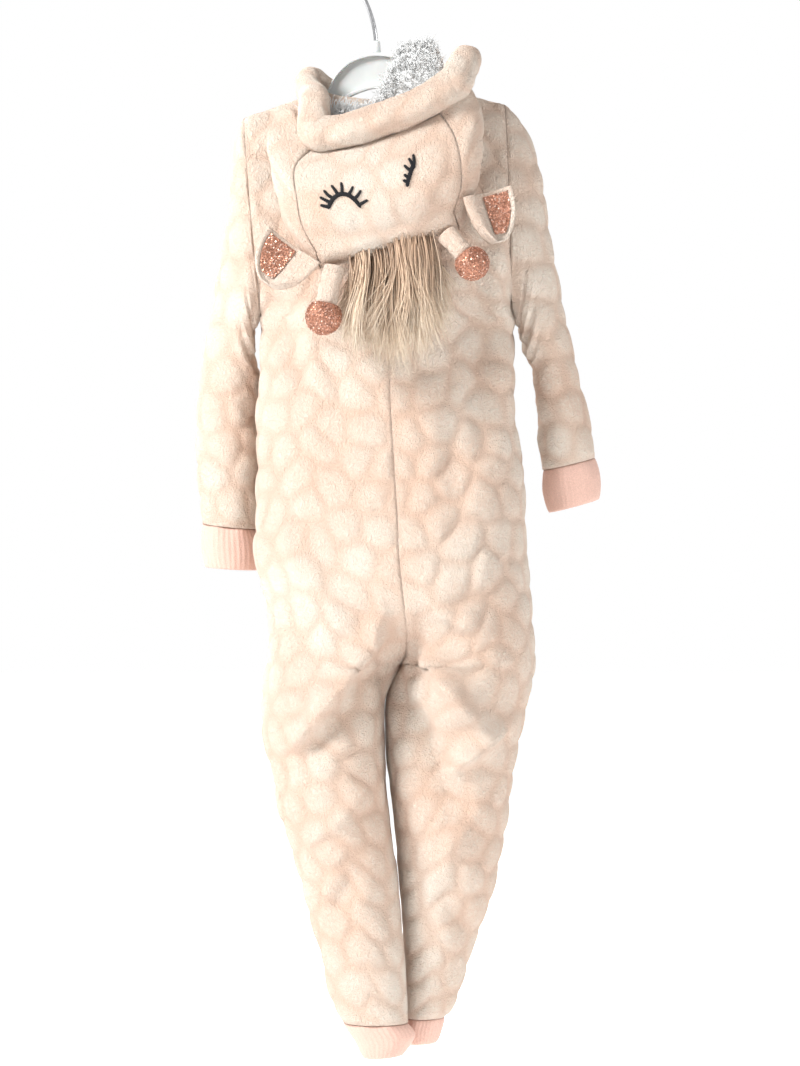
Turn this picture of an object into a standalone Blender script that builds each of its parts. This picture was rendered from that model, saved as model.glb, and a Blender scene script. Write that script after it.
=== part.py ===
"""Animal onesie in embossed plush, hanging from a moulded hanger by its hook.

Metres, +Z up. The origin is the inside top of the hook, where a rail carries it.
The wearer's front faces -Y and the wearer's left hand is at +X.
Sizes below are in millimetres and are turned to metres by MM.
"""
import math
import random
from collections import namedtuple

import bmesh
import bpy
from mathutils import Vector

MM = 0.001
SEED = 7

# Cloth
PLUSH = 4.0              # wall of the embossed plush
RIB = 3.0                # wall of the cuffs
SEAM_GAP = 0.5           # between pieces that are sewn together
PEBBLE = 36.0            # one cobble of the embossing, across
PEBBLE_HEIGHT = 3.0
GROOVE_DEPTH = 0.4

# Body grid: each quarter of the body is this many columns, two to a cobble
BODY_COLUMNS = 10
BODY_ROW_STEP = PEBBLE / 2
SHOULDER_ROWS = 4
TUBE_COLUMNS = 12
INNER_ROW_STEP = 4
DENSE = 60               # samples of a section before it is spaced evenly

# Body heights
CROTCH_TOP = -600.0
CROTCH = -684.0
LEG_END = -1030.0
ZIP_TOP = -187.0
ZIP_END = -590.0
ZIP_HALF = 3.4           # half the space that the zip takes between the fronts
BODY_ROUND = 2.3         # exponent of the body's section
FLAT_EDGE = 1.1          # roundness of a section that ends at the armhole

NECK_BACK = (20.0, -146.0)      # y and z at the centre of the neck
NECK_FRONT = (-26.0, -184.0)
NECK_SIDE_Z = -133.0
NECK_SHARE = 0.44               # of the way to the shoulder tip
NECK_SQUARE = (0.5, 1.4)        # the neckline leaves the hanger before it dips

Torso = namedtuple("Torso", "z left right seam back front")
TORSO = [
    Torso(-150, 125, -123, -8, 20, 20),
    Torso(-200, 122, -125, -9, 40, 38),
    Torso(-260, 118, -127, -10, 54, 52),
    Torso(-352, 110, -130, -11, 66, 64),
    Torso(-432, 112, -130, -14, 72, 70),
    Torso(-500, 113, -141, -18, 78, 76),
    Torso(-547, 114, -143, -21, 82, 80),
    Torso(-576, 115, -144, -22, 84, 82),
    Torso(-605, 110, -146, -25, 85, 83),
    Torso(-643, 101, -149, -29, 83, 81),
    Torso(-684, 104, -152, -31, 78, 76),
]

Leg = namedtuple("Leg", "z outer inner y depth")
LEFT_LEG = [
    Leg(-600, 111, -22, 0, 80),
    Leg(-643, 101, -24, 0, 78),
    Leg(-684, 104, -21, 1, 74),
    Leg(-714, 109, -9, 3, 70),
    Leg(-749, 108, -7, 5, 66),
    Leg(-793, 99, -9, 7, 61),
    Leg(-830, 91, -13, 9, 56),
    Leg(-889, 73, -20, 11, 48),
    Leg(-929, 63, -24, 12, 42),
    Leg(-968, 52, -28, 14, 35),
    Leg(-1005, 43, -30, 16, 29),
    Leg(-1030, 32, -31, 17, 24),
]
RIGHT_LEG = [
    Leg(-600, -146, -26, 0, 80),
    Leg(-643, -149, -32, 0, 78),
    Leg(-684, -152, -28, -1, 74),
    Leg(-714, -146, -11.5, -3, 70),
    Leg(-749, -139, -10, -5, 66),
    Leg(-793, -131, -12, -7, 61),
    Leg(-830, -127, -16, -9, 56),
    Leg(-889, -116, -22, -11, 48),
    Leg(-929, -105, -25, -13, 42),
    Leg(-968, -91, -26, -15, 35),
    Leg(-1005, -80, -25, -17, 29),
    Leg(-1030, -67, -24, -18, 24),
]

# A ring of a sleeve or cuff: its inner end, its outer end, and its place and size in depth
Ring = namedtuple("Ring", "inner_x inner_z outer_x outer_z y depth")
LEFT_SLEEVE = [
    Ring(110, -352, 126, -163, 0, 46),
    Ring(114, -359, 134, -183, -4, 47),
    Ring(116, -367, 138, -216, -9, 46),
    Ring(117, -378, 142, -256, -16, 44),
    Ring(117, -394, 148, -296, -25, 42),
    Ring(115, -415, 156, -336, -34, 40),
    Ring(112, -442, 164, -380, -42, 38),
    Ring(110, -476, 171, -424, -46, 37),
    Ring(109, -510, 173, -470, -47, 35),
    Ring(110, -538, 172, -520, -46, 32),
    Ring(113, -558, 169, -553, -45, 29),
]
RIGHT_SLEEVE = [
    Ring(-130, -352, -123, -150, 0, 46),
    Ring(-134, -358, -140, -170, -2, 47),
    Ring(-136, -365, -151, -195, -4, 46),
    Ring(-138, -372, -158, -225, -6, 45),
    Ring(-140, -381, -164, -261, -8, 43),
    Ring(-144, -392, -171, -300, -11, 41),
    Ring(-149, -405, -178, -338, -14, 39),
    Ring(-153, -427, -187, -378, -17, 37),
    Ring(-155, -452, -198, -424, -19, 35),
    Ring(-157, -478, -206, -459, -20, 32),
    Ring(-160, -500, -211, -488, -20, 29),
]
CUFFS = {
    "wrist_cuff_left": [
        Ring(114.5, -558.3, 167.5, -553.6, -45, 27.5),
        Ring(111, -577, 169, -573, -45, 26),
        Ring(112, -598, 166, -595, -45, 25),
    ],
    "wrist_cuff_right": [
        Ring(-161.5, -500.1, -209.6, -488.8, -20, 27.5),
        Ring(-162, -521, -215, -508, -20, 26),
        Ring(-167, -541, -215, -528, -20, 25),
    ],
    "ankle_cuff_left": [
        Ring(-30, -1030.7, 30, -1030.7, 17, 22.5),
        Ring(-36, -1043, 19, -1048, 17, 21),
        Ring(-26, -1061, 12, -1064, 17, 19),
    ],
    "ankle_cuff_right": [
        Ring(-25, -1030.7, -65, -1030.7, -18, 22),
        Ring(-23, -1043, -62, -1043, -18, 20),
        Ring(-25, -1056, -58, -1055, -18, 18),
    ],
}
CUFF_RIBS = 12
CUFF_RIB_HEIGHT = 0.9

# Folds of the body: a line from one place to another on the back or front
Fold = namedtuple("Fold", "face x0 z0 x1 z1 width height")
FOLDS = [
    Fold("back", -18, -624, 73, -759, 17, 8),
    Fold("back", -16, -676, 85, -787, 14, -7),
    Fold("back", -50, -668, -96, -738, 15, 7),
    Fold("back", -16, -706, -71, -780, 14, 6),
    Fold("back", -71, -780, -122, -742, 14, 6),
    Fold("back", -34, -736, -90, -845, 16, -6),
    Fold("back", -118, -300, -117, -480, 13, 5),
    Fold("back", -96, -290, -100, -470, 16, -6),
    Fold("back", 96, -330, 70, -430, 16, -5),
    Fold("back", 84, -560, 40, -640, 18, 5),
    Fold("back", -60, -900, -90, -950, 12, -4),
    Fold("back", 20, -880, 50, -935, 12, -4),
    Fold("front", 30, -620, 88, -750, 17, 7),
    Fold("front", 6, -690, 70, -800, 14, -6),
    Fold("front", -60, -640, -120, -745, 16, 7),
    Fold("front", -40, -720, -110, -820, 15, -6),
    Fold("front", 90, -300, 84, -470, 15, -6),
    Fold("front", -104, -300, -96, -500, 15, -6),
    Fold("front", -70, -880, -90, -950, 12, -4),
    Fold("front", 30, -870, 50, -940, 12, -4),
]
SLEEVE_GATHERS = 5
SLEEVE_GATHER_HEIGHT = 4.0

# Hood, hanging down the back: each row gives its left and right ends
# Its mouth slants: the outside edge drops below those ends and the inside rises to the neck
HoodRow = namedtuple("HoodRow", "left_x left_z right_x right_z inside outside drop rise")
HOOD = [
    HoodRow(88, -152, -88, -130, 35, 116, 48, -14),
    HoodRow(98, -174, -95, -148, 52, 126, 38, -4),
    HoodRow(99, -200, -99, -170, 62, 133, 26, 4),
    HoodRow(92, -236, -99, -199, 68, 138, 12, 2),
    HoodRow(83, -268, -95, -228, 72, 136, 4, 0),
    HoodRow(66, -295, -84, -252, 75, 129, 0, 0),
]
HOOD_LEAN = 0.35         # the mouth drops further on the left
HOOD_ROWS = 10
HOOD_ROUND = 2.5
HOOD_SEAM = (52.0, 34.0)        # place of the panel seam round the section, top and bottom
HOOD_CROWN_DROP = 17.0
HOOD_CENTRE_COLUMNS = 8
HOOD_SIDE_COLUMNS = 8
HOOD_CORNER_ROWS = 3
HOOD_PEBBLE = 1.8
HOOD_INNER_GAP = 2.2     # the walls' inner edges stand further apart than the seam
LINING = 3.5
LINING_GAP = 10.0
LINING_SLANT = 17.0       # further in at the slanting mouth
LINING_TOP = 0.16
LINING_END = 0.98
LINING_COLUMNS = 24
LINING_ROWS = 7
LINING_RISE = 56.0        # how far its wall next to the neck stands up on the wearer's right
LINING_RISE_FROM = 0.12   # where across the hood the rise starts, and where it is full
LINING_RISE_FULL = -0.36
LINING_RISE_LEAN = 0.45   # towards the neck

# Band: it follows the hood's mouth over the outside, and the neckline round the front
BAND_SIDES = 8
BAND_ARC = (52, 160, 10)        # degrees round the mouth, and how many points
BAND_RADIUS = 15.0              # behind
BAND_GAP = 1.3
BandPoint = namedtuple("BandPoint", "x y z radius")
BAND_LEFT = [
    BandPoint(-7.4, -33, -174, 9),
    BandPoint(14, -34, -171, 10.5),
    BandPoint(38, -34, -145, 11.5),
    BandPoint(58, -16, -128, 11),
    BandPoint(64, 12, -128, 10.5),
    BandPoint(62, 40, -139, 12),
    BandPoint(58, 68, -148, 13),
    BandPoint(57, 91, -154.5, 13.5),
]
BAND_RIGHT = [
    BandPoint(-84, 74, -114, 13.5),
    BandPoint(-84, 46, -117, 12.5),
    BandPoint(-80, 20, -120.5, 11),
    BandPoint(-70, -8, -123.5, 11),
    BandPoint(-52, -30, -142, 11.5),
    BandPoint(-30, -37, -165, 10.5),
    BandPoint(-8.6, -33, -174, 9),
]

# Ears: root, tip, the way the inside faces, and sizes
Ear = namedtuple("Ear", "side root tip face width cup")
EARS = [
    Ear("left", (74.9, 111.7, -287), (100.9, 117.7, -322), (0.10, 1.0, 0.15), 60, 9),
    Ear("right", (-101.9, 111.7, -237.6), (-114.9, 115.7, -283.6), (-0.30, 1.0, 0.10), 48, 9),
]
EAR_WALL = 3.5
SEQUIN_WALL = 1.6
EAR_ROWS = 6
EAR_COLUMNS = 6

Horn = namedtuple("Horn", "side root tip ball stem")
HORNS = [
    Horn("left", (38.5, 117, -305.9), (45.5, 125, -341), 17.0, 11.0),
    Horn("right", (-66.2, 116.5, -275), (-83, 125, -295), 16.0, 10.5),
]

# Mane: a narrow backing sewn round the crown, and its locks
MANE_ACROSS = (0.44, -0.50, 12)         # from where to where on the crown, and how many patches
MANE_ROUND = (48.0, 140.0, 5)           # degrees round the crown
MANE_GAP = 0.5
MANE_THICK = 4.0
MANE_SCATTER = (0.72, 1.08)
MANE_LENGTHS = [(0.0, 70.0), (0.3, 100.0), (0.6, 106.0), (0.85, 84.0), (1.0, 62.0)]
LOCK_SHARE = 0.66
LOCK_BEND = 14.0

# Hanger and hook
HANGER_THICK = 13.0
Arm = namedtuple("Arm", "x top bottom")
HANGER = [
    Arm(117, -172, -181), Arm(105, -167.5, -183), Arm(80, -159, -180), Arm(60, -151.5, -172),
    Arm(47, -138, -160), Arm(38, -121, -152), Arm(26, -109, -144), Arm(12, -103, -138),
    Arm(0, -101, -135), Arm(-12, -102, -136), Arm(-26, -106, -140), Arm(-38, -116, -146),
    Arm(-48, -131, -153), Arm(-60, -147, -163), Arm(-80, -152, -169), Arm(-104, -157, -172),
    Arm(-114, -160, -170),
]
HANGER_ROUND = 2.4
HANGER_SIDES = 12
HOOK_WIRE = 2.0
HOOK_RADIUS = 24.0
HOOK_START = -38.0       # degrees, where the stem runs into the round
HOOK_END = 205.0
HOOK_SIDES = 8
FERRULE_RADIUS = 5.0
FERRULE_TOP = -90.0

# Zip
TAPE_THICK = 1.6
TAPE_STEP = 24.0
SLIDER_Z = -196.0
SLIDER = (3.3, -0.5, 3.6, 11.0)     # half width, back, front and length
SLIDER_EARS = (2.4, 7.0, 1.5, 5.0)  # inner half width, front, and from where to where down
PIN = (0.8, 5.8, 3.2)               # radius, and its place out and down
BARREL = (1.9, 1.15, 2.0)           # outer and inner radius, half width
TAB_THICK = 0.9                     # half
TAB_NECK = (1.9, 6.0)               # half width between the ears, and where it ends
TAB_END = (4.2, 27.0)               # half width, and where it ends

COLOURS = {
    "plush": ((0.89, 0.70, 0.58), 0.95, 0.0),
    "rib": ((0.74, 0.47, 0.38), 0.95, 0.0),
    "sherpa": ((0.86, 0.88, 0.87), 1.0, 0.0),
    "mane": ((0.52, 0.40, 0.27), 0.85, 0.0),
    "rose_gold": ((0.60, 0.29, 0.20), 0.35, 0.7),
    "hanger_plastic": ((0.60, 0.65, 0.65), 0.4, 0.0),
    "chrome": ((0.78, 0.78, 0.80), 0.18, 1.0),
    "zip_tape": ((0.82, 0.64, 0.54), 0.8, 0.0),
    "zip_metal": ((0.70, 0.66, 0.62), 0.3, 1.0),
}


def material(name):
    """Principled finish of that name, made once."""
    if name in bpy.data.materials:
        return bpy.data.materials[name]
    colour, roughness, metallic = COLOURS[name]
    made = bpy.data.materials.new(name)
    made.use_nodes = True
    shader = made.node_tree.nodes["Principled BSDF"]
    shader.inputs["Base Color"].default_value = (*colour, 1.0)
    shader.inputs["Roughness"].default_value = roughness
    shader.inputs["Metallic"].default_value = metallic
    return made


def new_object(name, mesh_maker, finish, smooth=50):
    """Object whose mesh is in metres, from a bmesh in millimetres."""
    bmesh.ops.remove_doubles(mesh_maker, verts=mesh_maker.verts, dist=0.02)
    bmesh.ops.dissolve_degenerate(mesh_maker, edges=mesh_maker.edges, dist=0.01)
    bmesh.ops.triangulate(mesh_maker, faces=mesh_maker.faces)
    bmesh.ops.recalc_face_normals(mesh_maker, faces=mesh_maker.faces)
    bmesh.ops.scale(mesh_maker, vec=(MM, MM, MM), verts=mesh_maker.verts)
    mesh = bpy.data.meshes.new(name)
    mesh_maker.to_mesh(mesh)
    mesh_maker.free()
    mesh.materials.append(material(finish))
    mesh.shade_smooth()
    mesh.set_sharp_from_angle(angle=math.radians(smooth))
    made = bpy.data.objects.new(name, mesh)
    bpy.context.collection.objects.link(made)
    return made


def along(rows, key, column, value):
    """Value of a table's column where its key has that value, on a smooth curve."""
    keys = [getattr(row, key) for row in rows]
    values = [getattr(row, column) for row in rows]
    if keys[0] > keys[-1]:
        keys = [-k for k in keys]
        value = -value
    if value <= keys[0]:
        return values[0]
    if value >= keys[-1]:
        return values[-1]
    last = len(keys) - 1
    i = next(n for n in range(last) if value <= keys[n + 1])

    def slope(n):
        low, high = max(n - 1, 0), min(n + 1, last)
        return (values[high] - values[low]) / (keys[high] - keys[low])

    span = keys[i + 1] - keys[i]
    t = (value - keys[i]) / span
    return ((2 * t**3 - 3 * t**2 + 1) * values[i] + (t**3 - 2 * t**2 + t) * span * slope(i)
            + (3 * t**2 - 2 * t**3) * values[i + 1] + (t**3 - t**2) * span * slope(i + 1))


def table_at(rows, share):
    """Row of a table at a share of the way down it, as a namedtuple of smooth values."""
    kind = type(rows[0])
    Place = namedtuple("Place", ("place",) + kind._fields)
    placed = [Place(i / (len(rows) - 1), *row) for i, row in enumerate(rows)]
    return kind(*(along(placed, "place", name, share) for name in kind._fields))


def spaced(line, count):
    """Points at even distances along a line of points."""
    lengths = [0.0]
    for a, b in zip(line, line[1:]):
        lengths.append(lengths[-1] + (b - a).length)
    points = []
    k = 0
    for i in range(count + 1):
        target = lengths[-1] * i / count
        while k < len(line) - 2 and lengths[k + 1] < target:
            k += 1
        span = max(lengths[k + 1] - lengths[k], 1e-9)
        points.append(line[k].lerp(line[k + 1], (target - lengths[k]) / span))
    return points


def cobble(row, column, shifts, rng):
    """Height of the embossing at a grid point: low on the lines between cobbles."""
    shift = shifts[(row // 2) % len(shifts)]
    if row % 2 == 0 or (column + shift) % 2 == 0:
        return -GROOVE_DEPTH
    return PEBBLE_HEIGHT * rng.uniform(0.75, 1.1)


def grid_normals(grid, closed):
    """Outward normals of a grid of points, from its neighbours on each side."""
    rows, columns = len(grid), len(grid[0])
    normals = []
    for r in range(rows):
        line = []
        for c in range(columns):
            up, down = grid[max(r - 1, 0)][c], grid[min(r + 1, rows - 1)][c]
            if closed:
                before, after = grid[r][c - 1], grid[r][(c + 1) % columns]
            else:
                before, after = grid[r][max(c - 1, 0)], grid[r][min(c + 1, columns - 1)]
            normal = (after - before).cross(down - up)
            line.append(normal.normalized() if normal.length > 1e-6 else Vector((0, 0, -1)))
        normals.append(line)
    return normals


def wall(name, outer, inner, inner_rows, finish, closed=False, cap=False):
    """Closed solid between an outer grid and a plain inner one that has fewer rows."""
    made = bmesh.new()
    out = [[made.verts.new(p) for p in row] for row in outer]
    ins = [[made.verts.new(p) for p in inner[r]] for r in inner_rows]
    columns = len(out[0])
    turns = columns if closed else columns - 1
    for skin in (out, ins):
        for upper, lower in zip(skin, skin[1:]):
            for c in range(turns):
                d = (c + 1) % columns
                made.faces.new((upper[c], upper[d], lower[d], lower[c]))
    ends = [(out[0], ins[0])] + ([] if cap else [(out[-1], ins[-1])])
    for edge, under in ends:
        for c in range(turns):
            d = (c + 1) % columns
            made.faces.new((edge[c], edge[d], under[d], under[c]))
    if cap:
        for ring in (out[-1], ins[-1]):
            middle = sum((v.co for v in ring), Vector()) / columns
            centre = made.verts.new(middle)
            for c in range(columns):
                made.faces.new((ring[c], ring[(c + 1) % columns], centre))
    if not closed:
        for c in (0, columns - 1):
            for k, (top, bottom) in enumerate(zip(inner_rows, inner_rows[1:])):
                middle = (top + bottom + 1) // 2
                a, b = ins[k][c], ins[k + 1][c]
                for r in range(top, middle):
                    made.faces.new((a, out[r][c], out[r + 1][c]))
                made.faces.new((a, out[middle][c], b))
                for r in range(middle, bottom):
                    made.faces.new((b, out[r][c], out[r + 1][c]))
    new_object(name, made, finish)


def coarse(rows, step):
    """Row numbers that the plain inside keeps."""
    kept = list(range(0, rows - step // 2, step))
    return kept + [rows - 1] if kept[-1] != rows - 1 else kept


def inside(grid, outer, normals, thickness, kept, closed):
    """Inner points, a wall's thickness in, and deeper where a fold would reach them."""
    inner = {}
    columns = len(grid[0])
    depth = {r: [thickness] * columns for r in kept}
    for top, bottom in zip(kept, kept[1:]):
        for r in range(top, bottom + 1):
            t = (r - top) / (bottom - top)
            for c in range(columns):
                chord = (grid[top][c] - normals[top][c] * thickness).lerp(
                    grid[bottom][c] - normals[bottom][c] * thickness, t)
                room = (outer[r][c] - chord).dot(normals[r][c])
                short = thickness * 0.75 - room
                if short > 0:
                    near = [c - 1, c, (c + 1) % columns] if closed else [
                        max(c - 1, 0), c, min(c + 1, columns - 1)]
                    for n in near:
                        depth[top][n] = max(depth[top][n], thickness + short)
                        depth[bottom][n] = max(depth[bottom][n], thickness + short)
    for r in kept:
        inner[r] = [grid[r][c] - normals[r][c] * depth[r][c] for c in range(columns)]
    return inner


def pull_back(grid, rows, ends):
    """Draw the edge columns of a grid back along the cloth by half a seam's gap."""
    for r in rows:
        line = grid[r]
        for edge, beside, amount in ((0, 1, ends[0]), (-1, -2, ends[1])):
            way = line[beside] - line[edge]
            line[edge] = line[edge] + way.normalized() * amount


def fold_height(face, point):
    """How far the folds of that face lift the cloth at a point."""
    total = 0.0
    for fold in FOLDS:
        if fold.face != face:
            continue
        start, end = Vector((fold.x0, fold.z0)), Vector((fold.x1, fold.z1))
        line = end - start
        t = max(0.0, min(1.0, (Vector((point.x, point.z)) - start).dot(line) / line.length_squared))
        away = (Vector((point.x, point.z)) - start - line * t).length
        ends = math.sin(math.pi * (0.12 + 0.76 * t))
        total += fold.height * ends * math.exp(-(away / fold.width) ** 2)
    return total


def armhole_point(sleeve, z):
    """Edge of the armhole at a height: x and the half width of the hole."""
    top, bottom = sleeve[0].outer_z, sleeve[0].inner_z
    share = (z - bottom) / (top - bottom)
    x = sleeve[0].inner_x + (sleeve[0].outer_x - sleeve[0].inner_x) * share
    across = 2 * share - 1
    half = sleeve[0].depth * math.sqrt(max(0.0, 1 - across * across))
    return x, half


def section(side, face, share, level):
    """One point of a quarter of the body: share is 0 at the centre seam, 1 at the side."""
    sleeve = LEFT_SLEEVE if side > 0 else RIGHT_SLEEVE
    legs = LEFT_LEG if side > 0 else RIGHT_LEG
    sign = 1 if face == "back" else -1
    seam = along(TORSO, "z", "seam", level)
    deep = along(TORSO, "z", face, level)
    underarm = sleeve[0].inner_z
    if level >= underarm:
        edge, hole = armhole_point(sleeve, level)
        rounded = FLAT_EDGE
    else:
        edge, hole = along(TORSO, "z", "left" if side > 0 else "right", level), 0.0
        rounded = FLAT_EDGE + (BODY_ROUND - FLAT_EDGE) * min(1.0, (underarm - level) / 60)
    across = math.sin(share * math.pi / 2)
    x = seam + (edge - seam) * across
    y = hole + (deep - hole) * max(0.0, 1 - across**BODY_ROUND) ** (1 / rounded)
    torso = Vector((x, sign * y, level))
    if level >= CROTCH_TOP:
        return torso
    outer, inner = along(legs, "z", "outer", level), along(legs, "z", "inner", level)
    turn = math.pi * (1 - share)
    leg = Vector(((outer + inner) / 2 + (outer - inner) / 2 * math.cos(turn),
                  along(legs, "z", "y", level)
                  + sign * along(legs, "z", "depth", level) * math.sin(turn), level))
    passed = min(1.0, (CROTCH_TOP - level) / (CROTCH_TOP - CROTCH))
    return torso.lerp(leg, 1 - math.sqrt(1 - passed * passed))


def top_edge(side, face, share):
    """Neckline and shoulder seam: the upper edge of a quarter of the body."""
    sleeve = LEFT_SLEEVE if side > 0 else RIGHT_SLEEVE
    tip = Vector((sleeve[0].outer_x, 0, sleeve[0].outer_z))
    y, z = NECK_BACK if face == "back" else NECK_FRONT
    centre = Vector((TORSO[0].seam, y, z))
    neck_side = Vector((centre.x + (tip.x - centre.x) * NECK_SHARE, 0,
                        NECK_SIDE_Z + (tip.z - NECK_SIDE_Z) * 0.12))
    if share > NECK_SHARE:
        return neck_side.lerp(tip, (share - NECK_SHARE) / (1 - NECK_SHARE))
    turn = share / NECK_SHARE * math.pi / 2
    near = max(0.0, math.cos(turn))
    return Vector((centre.x + (neck_side.x - centre.x) * math.sin(turn),
                   centre.y * near ** NECK_SQUARE[0],
                   neck_side.z + (centre.z - neck_side.z) * near ** NECK_SQUARE[1]))


def body_levels():
    """Heights of the body's rows below the shoulder."""
    first = LEFT_SLEEVE[0].outer_z - 34
    count = round((first - LEG_END) / BODY_ROW_STEP)
    return [first + (LEG_END - first) * i / count for i in range(count + 1)]


def quarter_grid(side, face):
    """Points of one quarter of the body, from its top edge down to the ankle."""
    levels = body_levels()
    grid = []
    for r in range(SHOULDER_ROWS):
        down = r / SHOULDER_ROWS
        out = math.sqrt(1 - (1 - down) ** 2)
        line = []
        for k in range(DENSE + 1):
            share = k / DENSE
            top = top_edge(side, face, share)
            low = section(side, face, share, levels[0])
            point = top.lerp(low, down)
            point.y = top.y + (low.y - top.y) * out
            line.append(point)
        line = spaced(line, BODY_COLUMNS)
        sleeve = LEFT_SLEEVE if side > 0 else RIGHT_SLEEVE
        x, hole = armhole_point(sleeve, line[-1].z)
        line[-1].x, line[-1].y = x, hole * (1 if face == "back" else -1)
        grid.append(line)
    for level in levels:
        line = [section(side, face, k / DENSE, level) for k in range(DENSE + 1)]
        grid.append(spaced(line, BODY_COLUMNS))
    return grid


def half_normals(back, front, other_back, other_front):
    """Normals of a back and a front quarter that share their seams' directions."""
    rows, columns = len(back), BODY_COLUMNS
    found = []
    for own, across_side, across_centre in ((back, front, other_back), (front, back, other_front)):
        normals = []
        for r in range(rows):
            level = own[r][0].z
            passed = max(0.0, min(1.0, (CROTCH_TOP - level) / (CROTCH_TOP - CROTCH)))
            leg_share = 1 - math.sqrt(1 - passed * passed)
            line = []
            for c in range(columns + 1):
                if r == 0:
                    vertical = own[1][c] - own[0][c]
                else:
                    vertical = own[min(r + 1, rows - 1)][c] - own[r - 1][c]
                if c == 0:
                    torso_way = own[r][1] - across_centre[r][1]
                    leg_way = own[r][1] - across_side[r][1]
                    beside = torso_way.normalized().lerp(leg_way.normalized(), leg_share)
                elif c == columns:
                    beside = across_side[r][-2] - own[r][-2]
                else:
                    beside = own[r][c + 1] - own[r][c - 1]
                normal = beside.cross(vertical)
                line.append(normal)
            normals.append(line)
        found.append(normals)
    return found


def outward(normals, grid, side, face):
    """Turn normals of a quarter outwards and settle those at the seams."""
    sleeve = LEFT_SLEEVE if side > 0 else RIGHT_SLEEVE
    ring = sleeve[0]
    sign = 1 if face == "back" else -1
    middle_x, middle_z = (ring.inner_x + ring.outer_x) / 2, (ring.inner_z + ring.outer_z) / 2
    half_z = (ring.outer_z - ring.inner_z) / 2
    flip = 1 if (side > 0) == (face == "back") else -1
    for r, line in enumerate(normals):
        for c, normal in enumerate(line):
            normal = (normal * flip).normalized()
            point = grid[r][c]
            if r == 0:
                normal = Vector((0, 0, 1)) if abs(point.y) < 1 else Vector((0, sign * 0.6, 0.8))
            if c == BODY_COLUMNS and point.z > ring.inner_z - 1:
                up = (point.z - middle_z) / half_z
                radial = Vector((0, sign * math.sqrt(max(0.0, 1 - up * up)) * half_z, up * ring.depth))
                lean = (ring.outer_x - ring.inner_x) / (ring.outer_z - ring.inner_z)
                radial.x = lean * radial.z
                normal = radial.normalized()
            line[c] = normal
    return normals


def seam_amounts(r, grid, face):
    """Half gaps at the centre and side edges of a quarter, at one row."""
    level = grid[r][0].z
    centre = SEAM_GAP / 2
    if face == "front" and level > ZIP_END:
        centre = ZIP_HALF + SEAM_GAP
    elif face == "front" and level > ZIP_END - 30:
        centre = SEAM_GAP / 2 + (ZIP_HALF + SEAM_GAP / 2) * (level - ZIP_END + 30) / 30
    return centre, SEAM_GAP / 2


def body_panels():
    """Left and right backs and fronts, each from shoulder to ankle."""
    grids = {(s, f): quarter_grid(s, f) for s in (1, -1) for f in ("back", "front")}
    rng = random.Random(SEED)
    for side in (1, -1):
        found = half_normals(grids[side, "back"], grids[side, "front"],
                             grids[-side, "back"], grids[-side, "front"])
        for face, raw in zip(("back", "front"), found):
            grid = grids[side, face]
            normals = outward(raw, grid, side, face)
            rows = len(grid)
            shifts = [rng.randrange(2) for _ in range(9)]
            base, outer = [], []
            for r in range(rows):
                base_line, outer_line = [], []
                for c in range(BODY_COLUMNS + 1):
                    point, normal = grid[r][c], normals[r][c]
                    at_seam = c in (0, BODY_COLUMNS) or r in (0, rows - 1)
                    lift = 0.0 if at_seam else fold_height(face, point) * min(1, c, BODY_COLUMNS - c)
                    height = -GROOVE_DEPTH if at_seam else cobble(r, c, shifts, rng)
                    if point.z < CROTCH_TOP and c < 2:
                        height, lift = min(height, 0.0), min(lift, 0.0)
                    base_line.append(point + normal * lift)
                    outer_line.append(point + normal * (lift + height))
                base.append(base_line)
                outer.append(outer_line)
            kept = coarse(rows, INNER_ROW_STEP)
            inner = inside(base, outer, normals, PLUSH, kept, False)
            for r in range(rows):
                ends = seam_amounts(r, grid, face)
                pull_back(outer, [r], ends)
                if r in inner:
                    pull_back(inner, [r], ends)
            seam_y = (SEAM_GAP / 2 if face == "back" else -SEAM_GAP / 2)
            for line in (outer[0], inner[0]):
                for c, point in enumerate(line):
                    if abs(point.y) < SEAM_GAP:
                        point.y = seam_y
            name = face + ("_left" if side > 0 else "_right")
            wall(name, outer, inner, kept, "plush")


def ring_points(ring, columns, shift=0.0):
    """Points round a ring, from its outer end over the back to its inner end."""
    middle = Vector(((ring.inner_x + ring.outer_x) / 2, ring.y, (ring.inner_z + ring.outer_z) / 2))
    half = Vector(((ring.outer_x - ring.inner_x) / 2, 0, (ring.outer_z - ring.inner_z) / 2))
    plane = half.cross(Vector((0, 1, 0))).normalized()
    points = []
    for c in range(columns):
        turn = 2 * math.pi * c / columns
        points.append(middle + half * math.cos(turn) + Vector((0, ring.depth * math.sin(turn), 0))
                      + plane * shift)
    return points


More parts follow.
